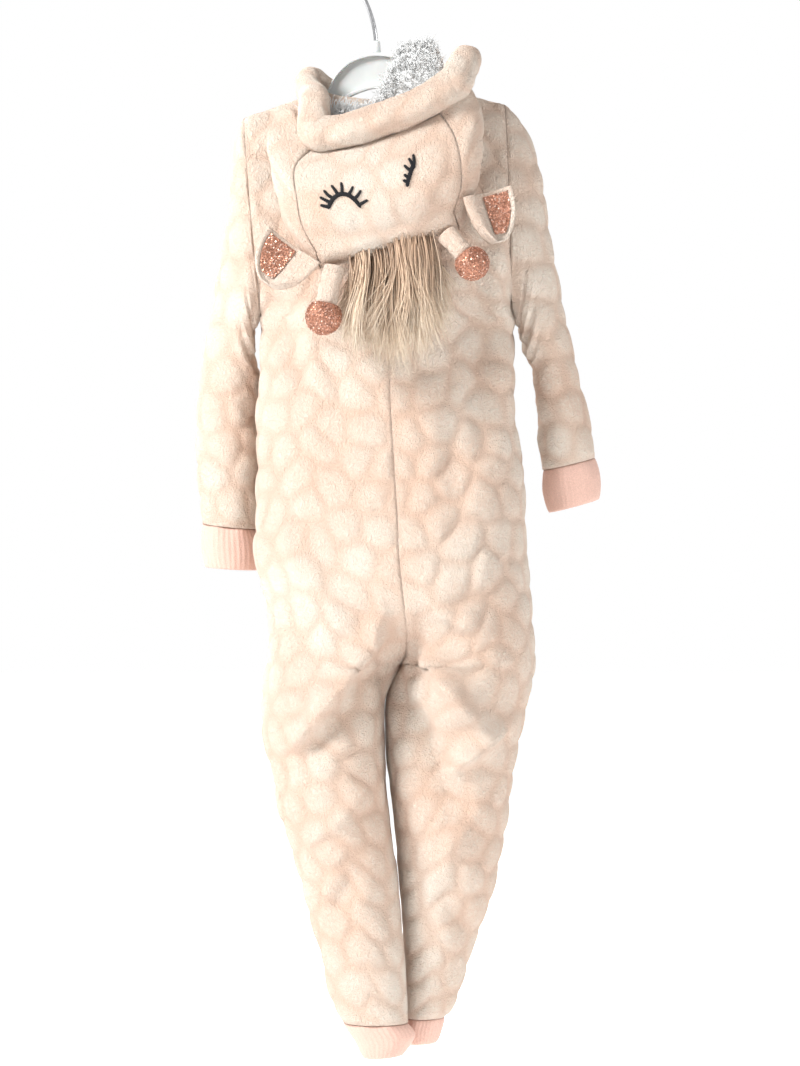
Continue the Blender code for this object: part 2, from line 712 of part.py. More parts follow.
def sleeve(name, rings, side):
    """Sleeve from the armhole to the wrist, with gathers under the arm."""
    rng = random.Random(SEED + side)
    length = sum(math.hypot(b.outer_x - a.outer_x, b.outer_z - a.outer_z)
                 for a, b in zip(rings, rings[1:]))
    count = 2 * round(length / PEBBLE)
    grid = []
    for r in range(count + 1):
        ring = table_at(rings, r / count)
        shift = 0.0 if r else SEAM_GAP * (-1 if side > 0 else 1)
        grid.append(ring_points(ring, TUBE_COLUMNS, shift))
    normals = grid_normals(grid, True)
    middle = sum(grid[count // 2], Vector()) / TUBE_COLUMNS
    if (grid[count // 2][0] - middle).dot(normals[count // 2][0]) < 0:
        normals = [[-n for n in line] for line in normals]
    shifts = [rng.randrange(2) for _ in range(7)]
    outer = []
    for r, line in enumerate(grid):
        row = []
        for c, point in enumerate(line):
            if r == 0:
                middle = sum(line, Vector()) / TUBE_COLUMNS
                flat = point - middle
                lean = Vector((flat.x, flat.y * (94.5 / rings[0].depth) ** 2, flat.z))
                normals[0][c] = lean.normalized()
            inner_side = max(0.0, -math.cos(2 * math.pi * c / TUBE_COLUMNS))
            gather = math.cos(SLEEVE_GATHERS * math.pi * r / count * 2) * inner_side
            fade = math.sin(math.pi * min(1.0, r / count))
            height = 0.0 if r in (0, count) else cobble(r, c, shifts, rng) * (1 - inner_side)
            row.append(point + normals[r][c] * (height - SLEEVE_GATHER_HEIGHT
                                                * max(0.0, gather) * fade))
        outer.append(row)
    kept = coarse(count + 1, INNER_ROW_STEP)
    inner = inside(grid, outer, normals, PLUSH, kept, True)
    wall(name, outer, inner, kept, "plush", closed=True)


def cuff(name, rings):
    """Ribbed cuff, gathered on to the sleeve or leg."""
    rows = 4
    columns = CUFF_RIBS * 2
    grid = [ring_points(table_at(rings, r / rows), columns) for r in range(rows + 1)]
    outer, inner = [], {}
    for r, line in enumerate(grid):
        middle = sum(line, Vector()) / columns
        row, under = [], []
        for c, point in enumerate(line):
            out = (point - middle).normalized()
            rib = CUFF_RIB_HEIGHT * (1 if c % 2 else 0)
            row.append(point + out * rib)
            under.append(point - out * RIB)
        outer.append(row)
        inner[r] = under
    kept = [0, rows // 2, rows]
    wall(name, outer, inner, kept, "rib", closed=True)


def hood_row(share):
    """Frame of one row of the hood: its middle, its way across and its half sizes."""
    row = table_at(HOOD, share)
    left, right = Vector((row.left_x, 0, row.left_z)), Vector((row.right_x, 0, row.right_z))
    middle = (left + right) / 2
    middle.y = (row.inside + row.outside) / 2
    half = (left - right) / 2
    return middle, half, (row.outside - row.inside) / 2, row.drop, row.rise


def hood_place(share, degrees, shrink=0.0):
    """Point of the hood's section at an angle from its left end, over the outside."""
    middle, half, deep, drop, rise = hood_row(share)
    turn = math.radians(degrees)
    power = 2 / HOOD_ROUND
    across = math.copysign(abs(math.cos(turn)) ** power, math.cos(turn))
    out = math.copysign(abs(math.sin(turn)) ** power, math.sin(turn))
    scale = 1 - shrink / half.length
    slant = -drop * out * (1 + HOOD_LEAN * across) if out > 0 else -rise * out
    return middle + half * across * scale + Vector((0, (deep - shrink) * out, slant))


def hood_seam(share):
    """Angle of the panel seam on the section, at a share of the way down."""
    return HOOD_SEAM[0] + (HOOD_SEAM[1] - HOOD_SEAM[0]) * share


def down_way():
    """Direction in which the hood's crown points."""
    half = hood_row(1.0)[1]
    return Vector((-half.z, 0, half.x)).normalized() * -1


def centre_angles(share):
    """Angles of the centre panel's columns, from its left seam to its right one."""
    first = hood_seam(share)
    return [first + (180 - 2 * first) * c / HOOD_CENTRE_COLUMNS for c in range(HOOD_CENTRE_COLUMNS + 1)]


def hood_centre():
    """Panel from the forehead over the crown and up to the back of the neck."""
    turns = HOOD_SIDE_COLUMNS
    grid = []
    for r in range(HOOD_ROWS + 1):
        share = r / HOOD_ROWS
        grid.append([hood_place(share, a) for a in centre_angles(share)])
    edge = hood_row(1.0)[0]
    for k in range(1, turns):
        arc = k / turns
        line = []
        for a in centre_angles(1.0):
            start = hood_place(1.0, a)
            deep = start.y - edge.y
            point = start + down_way() * HOOD_CROWN_DROP * math.sin(math.pi * arc)
            point.y = edge.y + deep * math.cos(math.pi * arc)
            line.append(point)
        grid.append(line)
    for r in range(HOOD_ROWS, -1, -1):
        share = r / HOOD_ROWS
        grid.append([hood_place(share, -a) for a in centre_angles(share)])
    hood_panel("hood_centre", grid, HOOD_ROWS)


def hood_side(name, left):
    """Side of the hood, with the corner that it makes at the crown."""
    columns = HOOD_SIDE_COLUMNS
    grid = []
    for r in range(HOOD_ROWS + 1):
        share = r / HOOD_ROWS
        seam = hood_seam(share)
        grid.append([side_place(share, seam - 2 * seam * c / columns, left)
                     for c in range(columns + 1)])
    edge = hood_row(1.0)[0]
    last = grid[-1]
    reach = last[0].y - edge.y
    for k in range(1, HOOD_CORNER_ROWS + 1):
        turn = math.pi / 2 * k / HOOD_CORNER_ROWS
        line = []
        for c, point in enumerate(last):
            arc = math.acos(max(-1.0, min(1.0, (point.y - edge.y) / reach)))
            flat = Vector((last[0].x, point.y, last[0].z))
            line.append(flat + (point - flat) * math.cos(turn)
                        + down_way() * HOOD_CROWN_DROP * math.sin(arc) * math.sin(turn))
        grid.append(line)
    hood_panel(name, grid, HOOD_ROWS)


def side_place(share, degrees, left):
    """Point of the hood's section on its left side, or the same place on its right."""
    return hood_place(share, degrees if left else 180 - degrees)


def hood_panel(name, grid, relief_rows):
    """Solid of one hood panel, its wall lying inside the grid."""
    rng = random.Random(SEED + len(name))
    middle = Vector((-8, 100, -210))
    normals = grid_normals(grid, False)
    probe = grid[HOOD_ROWS // 2][len(grid[0]) // 2]
    if (probe - middle).dot(normals[HOOD_ROWS // 2][len(grid[0]) // 2]) < 0:
        normals = [[-n for n in line] for line in normals]
    shifts = [rng.randrange(2) for _ in range(5)]
    rows, columns = len(grid), len(grid[0])
    outer = []
    for r, line in enumerate(grid):
        row = []
        for c, point in enumerate(line):
            flat = c in (0, columns - 1) or r in (0, rows - 1) or r > relief_rows
            height = 0.0 if flat else max(0.0, cobble(r, c, shifts, rng)) * HOOD_PEBBLE / PEBBLE_HEIGHT
            row.append(point + normals[r][c] * height)
        outer.append(row)
    kept = list(range(rows))
    inner = {r: [p - n * PLUSH for p, n in zip(grid[r], normals[r])] for r in kept}
    pull_back(outer, kept, (SEAM_GAP, SEAM_GAP))
    pull_back(inner, kept, (HOOD_INNER_GAP, HOOD_INNER_GAP))
    if name != "hood_centre":
        ends = ((outer[-1], outer[-2], SEAM_GAP), (inner[rows - 1], inner[rows - 2], HOOD_INNER_GAP))
        for line, before, amount in ends:
            for c in range(1, columns - 1):
                line[c] = line[c] + (before[c] - line[c]).normalized() * amount
    wall(name, outer, inner, kept, "plush")


def lining_place(share, degrees, shrink):
    """Point of the lining, whose wall next to the neck stands up on the wearer's right."""
    point = hood_place(share, degrees, shrink)
    across, inward = math.cos(math.radians(degrees)), -math.sin(math.radians(degrees))
    if inward <= 0:
        return point
    t = (LINING_RISE_FROM - across) / (LINING_RISE_FROM - LINING_RISE_FULL)
    t = max(0.0, min(1.0, t))
    near_mouth = max(0.0, 1 - (share - LINING_TOP) / (LINING_END - LINING_TOP))
    lift = LINING_RISE * t * t * (3 - 2 * t) * min(1.0, inward / 0.6) * near_mouth ** 2.5
    return point + Vector((0, -LINING_RISE_LEAN * lift, lift))


def hood_lining():
    """Sherpa bag inside the hood, closed at the crown."""
    outer, inner = [], {}
    for r in range(LINING_ROWS + 1):
        share = LINING_TOP + (LINING_END - LINING_TOP) * r / LINING_ROWS
        shrink = PLUSH + LINING_GAP + LINING_SLANT * (1 - share) ** 2
        angles = [360 * c / LINING_COLUMNS for c in range(LINING_COLUMNS)]
        outer.append([lining_place(share, a, shrink) for a in angles])
        inner[r] = [lining_place(share, a, shrink + LINING) for a in angles]
    bottom = LINING_ROWS
    inner[bottom] = [p - down_way() * LINING for p in inner[bottom]]
    wall("hood_lining", outer, inner, list(range(bottom + 1)), "sherpa", closed=True, cap=True)


def sweep(made, path, radii, sides, up=Vector((0, 0, 1))):
    """Round bar along a path, with flat ends, into a bmesh."""
    rings = []
    for i, point in enumerate(path):
        before, after = path[max(i - 1, 0)], path[min(i + 1, len(path) - 1)]
        way = (after - before).normalized()
        first = up.cross(way)
        if first.length < 0.05:
            first = Vector((0, 1, 0)).cross(way)
        first.normalize()
        second = way.cross(first)
        rings.append([made.verts.new(point + (first * math.cos(a) + second * math.sin(a)) * radii[i])
                      for a in (2 * math.pi * k / sides for k in range(sides))])
    for a, b in zip(rings, rings[1:]):
        for k in range(sides):
            made.faces.new((a[k], a[(k + 1) % sides], b[(k + 1) % sides], b[k]))
    made.faces.new(rings[0])
    made.faces.new(rings[-1])


def hood_band():
    """Rolled plush band round the hood's opening, from one front edge to the other."""
    start, end, count = BAND_ARC
    behind = []
    for i in range(count):
        turn = start + (end - start) * i / (count - 1)
        edge = hood_place(0.0, turn, PLUSH / 2)
        way = (hood_place(0.0, turn + 2, PLUSH / 2) - hood_place(0.0, turn - 2, PLUSH / 2)).normalized()
        up = Vector((0, 0, 1))
        place = edge + (up - way * up.dot(way)).normalized() * (BAND_RADIUS + BAND_GAP)
        behind.append(BandPoint(place.x, place.y, place.z, BAND_RADIUS))
    route = BAND_LEFT + behind + BAND_RIGHT
    steps = 2 * (len(route) - 1)
    points = [table_at(route, i / steps) for i in range(steps + 1)]
    made = bmesh.new()
    sweep(made, [Vector((p.x, p.y, p.z)) for p in points], [p.radius for p in points], BAND_SIDES)
    new_object("hood_band", made, "plush")


def ear_pieces():
    """Plush ears with sequin insides, each a cupped leaf."""
    for ear in EARS:
        root, tip = Vector(ear.root), Vector(ear.tip)
        length = (tip - root).length
        way = (tip - root).normalized()
        face = Vector(ear.face).normalized()
        across = face.cross(way).normalized()
        face = way.cross(across).normalized()

        def leaf(name, scale, lift, wall_size, finish):
            grid = []
            for r in range(EAR_ROWS + 1):
                t = r / EAR_ROWS
                half = ear.width / 2 * scale * math.sqrt(max(0.0, 1 - (t * 0.97) ** 2.2))
                line = []
                for c in range(EAR_COLUMNS + 1):
                    side = 2 * c / EAR_COLUMNS - 1
                    place = root + way * length * (t * scale + (1 - scale) * 0.4)
                    hollow = ear.cup * (half * side / (ear.width / 2)) ** 2
                    line.append(place + across * half * side + face * (hollow + lift))
                grid.append(line)
            under = {r: [p - face * wall_size for p in line] for r, line in enumerate(grid)}
            wall(name, grid, under, list(range(EAR_ROWS + 1)), finish)

        leaf("ear_" + ear.side, 1.0, 0.0, EAR_WALL, "plush")
        leaf("ear_sequins_" + ear.side, 0.8, SEAM_GAP + SEQUIN_WALL, SEQUIN_WALL, "rose_gold")


def horns():
    """Plush stems that end in glitter balls."""
    for horn in HORNS:
        root, tip = Vector(horn.root), Vector(horn.tip)
        way = (tip - root).normalized()
        made = bmesh.new()
        sweep(made, [root.lerp(tip, t) for t in (0, 0.33, 0.66, 1)],
              [horn.stem, horn.stem * 0.9, horn.stem * 0.92, horn.stem * 1.02], 10,
              up=Vector((0, 1, 0)))
        new_object("horn_stem_" + horn.side, made, "plush")
        ball = bmesh.new()
        bmesh.ops.create_icosphere(ball, subdivisions=2, radius=horn.ball)
        flat = math.sqrt(horn.ball**2 - (horn.stem * 1.1) ** 2)
        centre = tip + way * (flat + SEAM_GAP)
        bmesh.ops.translate(ball, verts=ball.verts, vec=centre)
        cut = tip + way * SEAM_GAP
        bmesh.ops.bisect_plane(ball, geom=ball.verts[:] + ball.edges[:] + ball.faces[:],
                               plane_co=cut, plane_no=-way, clear_outer=True)
        rim = [e for e in ball.edges if e.is_boundary]
        bmesh.ops.contextual_create(ball, geom=rim)
        new_object("horn_ball_" + horn.side, ball, "rose_gold")


def crown_point(across, degrees, out):
    """Point at a place across the crown and round its turn, moved out from it."""
    middle, half, deep, _, _ = hood_row(1.0)
    level = (1 - abs(across) ** HOOD_ROUND) ** (1 / HOOD_ROUND)
    turn = math.radians(degrees)
    way = down_way()
    centre = middle + half * across
    round_way = Vector((0, deep * level * math.cos(turn), 0)) + way * HOOD_CROWN_DROP * math.sin(turn)
    facing = (Vector((0, math.cos(turn) / deep, 0)) + way * math.sin(turn) / HOOD_CROWN_DROP)
    return centre + round_way + facing.normalized() * out


def mane():
    """Locks that hang from one narrow backing round the crown."""
    rng = random.Random(SEED)
    made = bmesh.new()
    first, last, across_count = MANE_ACROSS
    start, end, round_count = MANE_ROUND
    inner, outer = [], []
    for i in range(across_count + 1):
        across = first + (last - first) * i / across_count
        turns = [start + (end - start) * j / round_count for j in range(round_count + 1)]
        inner.append([made.verts.new(crown_point(across, t, MANE_GAP)) for t in turns])
        outer.append([made.verts.new(crown_point(across, t, MANE_GAP + MANE_THICK)) for t in turns])
    for i in range(across_count):
        for j in range(round_count):
            made.faces.new((inner[i][j], inner[i + 1][j], inner[i + 1][j + 1], inner[i][j + 1]))
            lock(made, (outer[i][j], outer[i][j + 1], outer[i + 1][j + 1], outer[i + 1][j]),
                 (i + 0.5) / across_count, rng)
    border = ([(i, 0) for i in range(across_count)] + [(across_count, j) for j in range(round_count)]
              + [(i, round_count) for i in range(across_count, 0, -1)]
              + [(0, j) for j in range(round_count, 0, -1)])
    for (i, j), (k, m) in zip(border, border[1:] + border[:1]):
        made.faces.new((outer[i][j], outer[k][m], inner[k][m], inner[i][j]))
    new_object("mane", made, "mane", smooth=80)


def lock_length(share):
    """Length of the locks at a share of the way across the mane."""
    for (a, low), (b, high) in zip(MANE_LENGTHS, MANE_LENGTHS[1:]):
        if share <= b:
            return low + (high - low) * (share - a) / (b - a)
    return MANE_LENGTHS[-1][1]


def lock(made, corners, share, rng):
    """One lock of four sides, grown from the middle of its patch of the backing."""
    middle = sum((v.co for v in corners), Vector()) / 4
    length = lock_length(share) * rng.uniform(*MANE_SCATTER)
    lean = Vector((rng.uniform(-1, 1) * LOCK_BEND * 0.45, rng.uniform(-0.15, 0.25) * LOCK_BEND, 0))
    rings = [list(corners)]
    for t, size in ((0.0, LOCK_SHARE), (0.45, LOCK_SHARE * 0.85), (0.8, LOCK_SHARE * 0.5)):
        centre = middle + Vector((0, 0, -length * t)) + lean * t * t
        ring = [made.verts.new(centre + (v.co - middle) * size) for v in corners]
        rings.append(ring)
    for a, b in zip(rings, rings[1:]):
        for k in range(4):
            made.faces.new((a[k], a[(k + 1) % 4], b[(k + 1) % 4], b[k]))
    tip = made.verts.new(middle + Vector((0, 0, -length)) + lean)
    for k in range(4):
        made.faces.new((rings[-1][k], rings[-1][(k + 1) % 4], tip))


def hanger():
    """Moulded hanger body, a bar with rounded edges through its arms' heights."""
    made = bmesh.new()
    rings = []
    for i, arm in enumerate(HANGER):
        middle = Vector((arm.x, 0, (arm.top + arm.bottom) / 2))
        tall, thick = (arm.top - arm.bottom) / 2, HANGER_THICK / 2
        if i in (0, len(HANGER) - 1):
            thick *= 0.7
        ring = []
        for k in range(HANGER_SIDES):
            turn = 2 * math.pi * (k + 0.5) / HANGER_SIDES
            power = 2 / HANGER_ROUND
            c, s = math.cos(turn), math.sin(turn)
            ring.append(made.verts.new(middle + Vector((
                0, thick * math.copysign(abs(c) ** power, c),
                tall * math.copysign(abs(s) ** power, s)))))
        rings.append(ring)
    for a, b in zip(rings, rings[1:]):
        for k in range(HANGER_SIDES):
            made.faces.new((a[k], a[(k + 1) % HANGER_SIDES], b[(k + 1) % HANGER_SIDES], b[k]))
    made.faces.new(rings[0])
    made.faces.new(rings[-1])
    new_object("hanger", made, "hanger_plastic")

    ferrule = bmesh.new()
    top = HANGER[8].top + SEAM_GAP
    sweep(ferrule, [Vector((0, 0, z)) for z in (top, (top + FERRULE_TOP) / 2, FERRULE_TOP)],
          [FERRULE_RADIUS, FERRULE_RADIUS * 0.95, FERRULE_RADIUS * 0.8], 10)
    new_object("hook_ferrule", ferrule, "hanger_plastic")


def hook():
    """Wire hook whose inside top is the origin."""
    middle = Vector((0, 0, HOOK_WIRE - HOOK_RADIUS))
    start = math.radians(HOOK_START)
    meets = middle + Vector((math.cos(start), 0, math.sin(start))) * HOOK_RADIUS
    foot = Vector((0, 0, FERRULE_TOP + SEAM_GAP))
    path = []
    for i in range(7):
        t = i / 7
        low = foot.lerp(foot + Vector((0, 0, 26)), t)
        high = (meets + Vector((math.sin(start), 0, -math.cos(start))) * 22 * (1 - t))
        path.append(low.lerp(high, t * t * (3 - 2 * t)))
    turns = 22
    for i in range(turns + 1):
        turn = math.radians(HOOK_START + (HOOK_END - HOOK_START) * i / turns)
        path.append(middle + Vector((math.cos(turn), 0, math.sin(turn))) * HOOK_RADIUS)
    made = bmesh.new()
    sweep(made, path, [HOOK_WIRE] * len(path), HOOK_SIDES, up=Vector((0, 1, 0)))
    new_object("hook", made, "chrome")


def front_line(z):
    """Place of the centre front seam at a height."""
    if z > ZIP_TOP:
        z = ZIP_TOP
    below = body_levels()[0]
    if z >= below:
        share = (z - NECK_FRONT[1]) / (below - NECK_FRONT[1])
        low = section(1, "front", 0.0, below)
        out = math.sqrt(max(0.0, 1 - (1 - share) ** 2))
        return Vector((TORSO[0].seam + (low.x - TORSO[0].seam) * share,
                       NECK_FRONT[0] + (low.y - NECK_FRONT[0]) * out, z))
    return section(1, "front", 0.0, z)


def slider_frame():
    """Place on the zip where the slider stands, the way out of the cloth and the way down."""
    place = front_line(SLIDER_Z)
    down = front_line(SLIDER_Z - TAB_END[1]) - place
    down.x = 0
    down.normalize()
    return place, Vector((0, down.z, -down.y)), down


def block(made, frame, across, out, down):
    """Box in the slider's frame, between two values each way."""
    place, out_way, down_way_here = frame
    corners = [made.verts.new(place + Vector((a, 0, 0)) + out_way * o + down_way_here * d)
               for a in across for o in out for d in down]
    for face in ((0, 1, 3, 2), (4, 6, 7, 5), (0, 4, 5, 1), (2, 3, 7, 6), (0, 2, 6, 4), (1, 5, 7, 3)):
        made.faces.new([corners[i] for i in face])


def bar(made, frame, radius, half, out, down, sides=12):
    """Round bar across the slider's frame."""
    place, out_way, down_way_here = frame
    centre = place + out_way * out + down_way_here * down
    sweep(made, [centre + Vector((-half, 0, 0)), centre + Vector((half, 0, 0))],
          [radius, radius], sides)


def joined(name, shapes, holes, finish):
    """One solid from shapes joined together, less the holes."""
    pieces = []
    for i, shape in enumerate(shapes + holes):
        made = bmesh.new()
        shape(made)
        pieces.append(new_object(name if i == 0 else f"{name}_cutter_{i}", made, finish, smooth=30))
    body = pieces[0]
    for i, piece in enumerate(pieces[1:], start=1):
        piece.hide_render = True
        piece.display_type = "WIRE"
        change = body.modifiers.new(piece.name, "BOOLEAN")
        change.operation = "UNION" if i < len(shapes) else "DIFFERENCE"
        change.object = piece
    return body


def slider_and_tab():
    """Slider with two ears and a pin, and the tab that turns on the pin."""
    frame = slider_frame()
    half, back, front, length = SLIDER
    ear_half, ear_front, ear_top, ear_bottom = SLIDER_EARS
    radius, pin_out, pin_down = PIN
    into = 0.3
    joined("zip_slider", [
        lambda m: block(m, frame, (-half, half), (back, front), (0, length)),
        lambda m: block(m, frame, (-half, -ear_half), (front - into, ear_front), (ear_top, ear_bottom)),
        lambda m: block(m, frame, (ear_half, half), (front - into, ear_front), (ear_top, ear_bottom)),
        lambda m: bar(m, frame, radius, ear_half + into, pin_out, pin_down),
    ], [], "zip_metal")
    outer, inner, barrel_half = BARREL
    neck, neck_end = TAB_NECK
    end_half, end = TAB_END
    thick = (pin_out - TAB_THICK, pin_out + TAB_THICK)
    thin = (pin_out - TAB_THICK * 0.85, pin_out + TAB_THICK * 0.85)
    joined("zip_pull_tab", [
        lambda m: bar(m, frame, outer, barrel_half, pin_out, pin_down),
        lambda m: block(m, frame, (-neck, neck), thin, (pin_down + 1.3, neck_end + into)),
        lambda m: block(m, frame, (-end_half, end_half), thick, (neck_end, end)),
    ], [lambda m: bar(m, frame, inner, barrel_half + 1, pin_out, pin_down)], "zip_metal")


def zip_parts():
    """Two tapes of a closed zip, its slider with a bridge, and the pull tab."""
    count = round((ZIP_TOP - ZIP_END) / TAPE_STEP)
    for name, side in (("zip_left", 1), ("zip_right", -1)):
        made = bmesh.new()
        rings = []
        for i in range(count + 1):
            z = ZIP_TOP - 3 + (ZIP_END + 24 - ZIP_TOP) * i / count
            place = front_line(z)
            near, far = SEAM_GAP / 2 * side, (ZIP_HALF - 0.2) * side
            rings.append([made.verts.new((place.x + x, place.y + y, z))
                          for x, y in ((near, 0.8), (far, 0.8), (far, 0.8 + TAPE_THICK),
                                       (near, 0.8 + TAPE_THICK))])
        for a, b in zip(rings, rings[1:]):
            for k in range(4):
                made.faces.new((a[k], a[(k + 1) % 4], b[(k + 1) % 4], b[k]))
        made.faces.new(rings[0])
        made.faces.new(rings[-1])
        new_object(name, made, "zip_tape", smooth=30)


def main():
    for old in list(bpy.data.objects):
        bpy.data.objects.remove(old, do_unlink=True)
    body_panels()
    sleeve("sleeve_left", LEFT_SLEEVE, 1)
    sleeve("sleeve_right", RIGHT_SLEEVE, -1)
    for name, rings in CUFFS.items():
        cuff(name, rings)
    hood_centre()
    hood_side("hood_side_left", True)
    hood_side("hood_side_right", False)
    hood_lining()
    hood_band()
    ear_pieces()
    horns()
    mane()
    hanger()
    hook()
    zip_parts()
    slider_and_tab()


main()
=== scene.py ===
"""Dresses an animal onesie in embossed plush that hangs from a moulded hanger.

The cloth shells follow the same tables as the solids, in millimetres, and are turned to metres
when a mesh is made. The wearer's front faces -Y, and the photograph shows the back.
"""
import math
from collections import namedtuple

import bmesh
import bpy
import numpy as np
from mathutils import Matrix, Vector
from mathutils.bvhtree import BVHTree


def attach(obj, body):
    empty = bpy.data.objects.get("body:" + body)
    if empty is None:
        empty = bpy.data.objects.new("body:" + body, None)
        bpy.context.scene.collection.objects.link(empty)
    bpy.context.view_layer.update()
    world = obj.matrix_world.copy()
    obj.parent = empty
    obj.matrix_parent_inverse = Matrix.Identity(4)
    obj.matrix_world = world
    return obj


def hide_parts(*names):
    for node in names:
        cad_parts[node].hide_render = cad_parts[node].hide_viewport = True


bl_info = {
    "name": "Plush Animal Onesie",
    "version": (1, 0, 0),
    "blender": (4, 5, 0),
    "location": "View3D > Sidebar > Onesie",
    "description": "Cloth, fur, sequins and stage of a hooded plush onesie on its hanger",
    "category": "Object",
}

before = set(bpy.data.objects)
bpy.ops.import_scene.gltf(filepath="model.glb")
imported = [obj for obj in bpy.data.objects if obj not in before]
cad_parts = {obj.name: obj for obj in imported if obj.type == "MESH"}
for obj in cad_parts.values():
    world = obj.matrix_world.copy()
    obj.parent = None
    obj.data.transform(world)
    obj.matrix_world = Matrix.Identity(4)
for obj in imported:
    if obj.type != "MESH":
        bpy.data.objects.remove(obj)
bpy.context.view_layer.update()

MM = 0.001
CLOTH = "garment"

PLUSH = 4.0
SEAM_GAP = 0.14
PEBBLE = 36.0
CROTCH_TOP = -600.0
CROTCH = -684.0
LEG_END = -1030.0
ZIP_TOP = -187.0
ZIP_END = -590.0
ZIP_HALF = 3.4
BODY_ROUND = 2.3
FLAT_EDGE = 1.1
FIRST_LEVEL = -197.0
NECK_BACK = (20.0, -146.0)
NECK_FRONT = (-26.0, -184.0)
NECK_SIDE_Z = -133.0
NECK_SHARE = 0.44
NECK_SQUARE = (0.5, 1.4)
DENSE = 72

Torso = namedtuple("Torso", "z left right seam back front")
TORSO = [
    Torso(-150, 125, -123, -8, 20, 20),
    Torso(-200, 122, -125, -9, 40, 38),
    Torso(-260, 118, -127, -10, 54, 52),
    Torso(-352, 110, -130, -11, 66, 64),
    Torso(-432, 112, -130, -14, 72, 70),
    Torso(-500, 113, -141, -18, 78, 76),
    Torso(-547, 114, -143, -21, 82, 80),
    Torso(-576, 115, -144, -22, 84, 82),
    Torso(-605, 110, -146, -25, 85, 83),
    Torso(-643, 101, -149, -29, 83, 81),
    Torso(-684, 104, -152, -31, 78, 76),
]
Leg = namedtuple("Leg", "z outer inner y depth")
LEFT_LEG = [
    Leg(-600, 111, -22, 0, 80),
    Leg(-643, 101, -24, 0, 78),
    Leg(-684, 104, -21, 1, 74),
    Leg(-714, 109, -9, 3, 70),
    Leg(-749, 108, -7, 5, 66),
    Leg(-793, 99, -9, 7, 61),
    Leg(-830, 91, -13, 9, 56),
    Leg(-889, 73, -20, 11, 48),
    Leg(-929, 63, -24, 12, 42),
    Leg(-968, 52, -28, 14, 35),
    Leg(-1005, 43, -30, 16, 29),
    Leg(-1030, 32, -31, 17, 24),
]
RIGHT_LEG = [
    Leg(-600, -146, -26, 0, 80),
    Leg(-643, -149, -32, 0, 78),
    Leg(-684, -152, -28, -1, 74),
    Leg(-714, -146, -11.5, -3, 70),
    Leg(-749, -139, -10, -5, 66),
    Leg(-793, -131, -12, -7, 61),
    Leg(-830, -127, -16, -9, 56),
    Leg(-889, -116, -22, -11, 48),
    Leg(-929, -105, -25, -13, 42),
    Leg(-968, -91, -26, -15, 35),
    Leg(-1005, -80, -25, -17, 29),
    Leg(-1030, -67, -24, -18, 24),
]
Ring = namedtuple("Ring", "inner_x inner_z outer_x outer_z y depth")
LEFT_SLEEVE = [
    Ring(110, -352, 126, -163, 0, 46),
    Ring(114, -359, 134, -183, -4, 47),
    Ring(116, -367, 138, -216, -9, 46),
    Ring(117, -378, 142, -256, -16, 44),
    Ring(117, -394, 148, -296, -25, 42),
    Ring(115, -415, 156, -336, -34, 40),
    Ring(112, -442, 164, -380, -42, 38),
    Ring(110, -476, 171, -424, -46, 37),
    Ring(109, -510, 173, -470, -47, 35),
    Ring(110, -538, 172, -520, -46, 32),
    Ring(113, -558, 169, -553, -45, 29),
]
RIGHT_SLEEVE = [
    Ring(-130, -352, -123, -150, 0, 46),
    Ring(-134, -358, -140, -170, -2, 47),
    Ring(-136, -365, -151, -195, -4, 46),
    Ring(-138, -372, -158, -225, -6, 45),
    Ring(-140, -381, -164, -261, -8, 43),
    Ring(-144, -392, -171, -300, -11, 41),
    Ring(-149, -405, -178, -338, -14, 39),
    Ring(-153, -427, -187, -378, -17, 37),
    Ring(-155, -452, -198, -424, -19, 35),
    Ring(-157, -478, -206, -459, -20, 32),
    Ring(-160, -500, -211, -488, -20, 29),
]
CUFFS = {
    "wrist_cuff_left": [
        Ring(114.5, -558.3, 167.5, -553.6, -45, 27.5),
        Ring(111, -577, 169, -573, -45, 26),
        Ring(112, -598, 166, -595, -45, 25),
    ],
    "wrist_cuff_right": [
        Ring(-161.5, -500.1, -209.6, -488.8, -20, 27.5),
        Ring(-162, -521, -215, -508, -20, 26),
        Ring(-167, -541, -215, -528, -20, 25),
    ],
    "ankle_cuff_left": [
        Ring(-30, -1030.7, 30, -1030.7, 17, 22.5),
        Ring(-36, -1043, 19, -1048, 17, 21),
        Ring(-26, -1061, 12, -1064, 17, 19),
    ],
    "ankle_cuff_right": [
        Ring(-25, -1030.7, -65, -1030.7, -18, 22),
        Ring(-23, -1043, -62, -1043, -18, 20),
        Ring(-25, -1056, -58, -1055, -18, 18),
    ],
}

FOLD_GAIN = 1.75
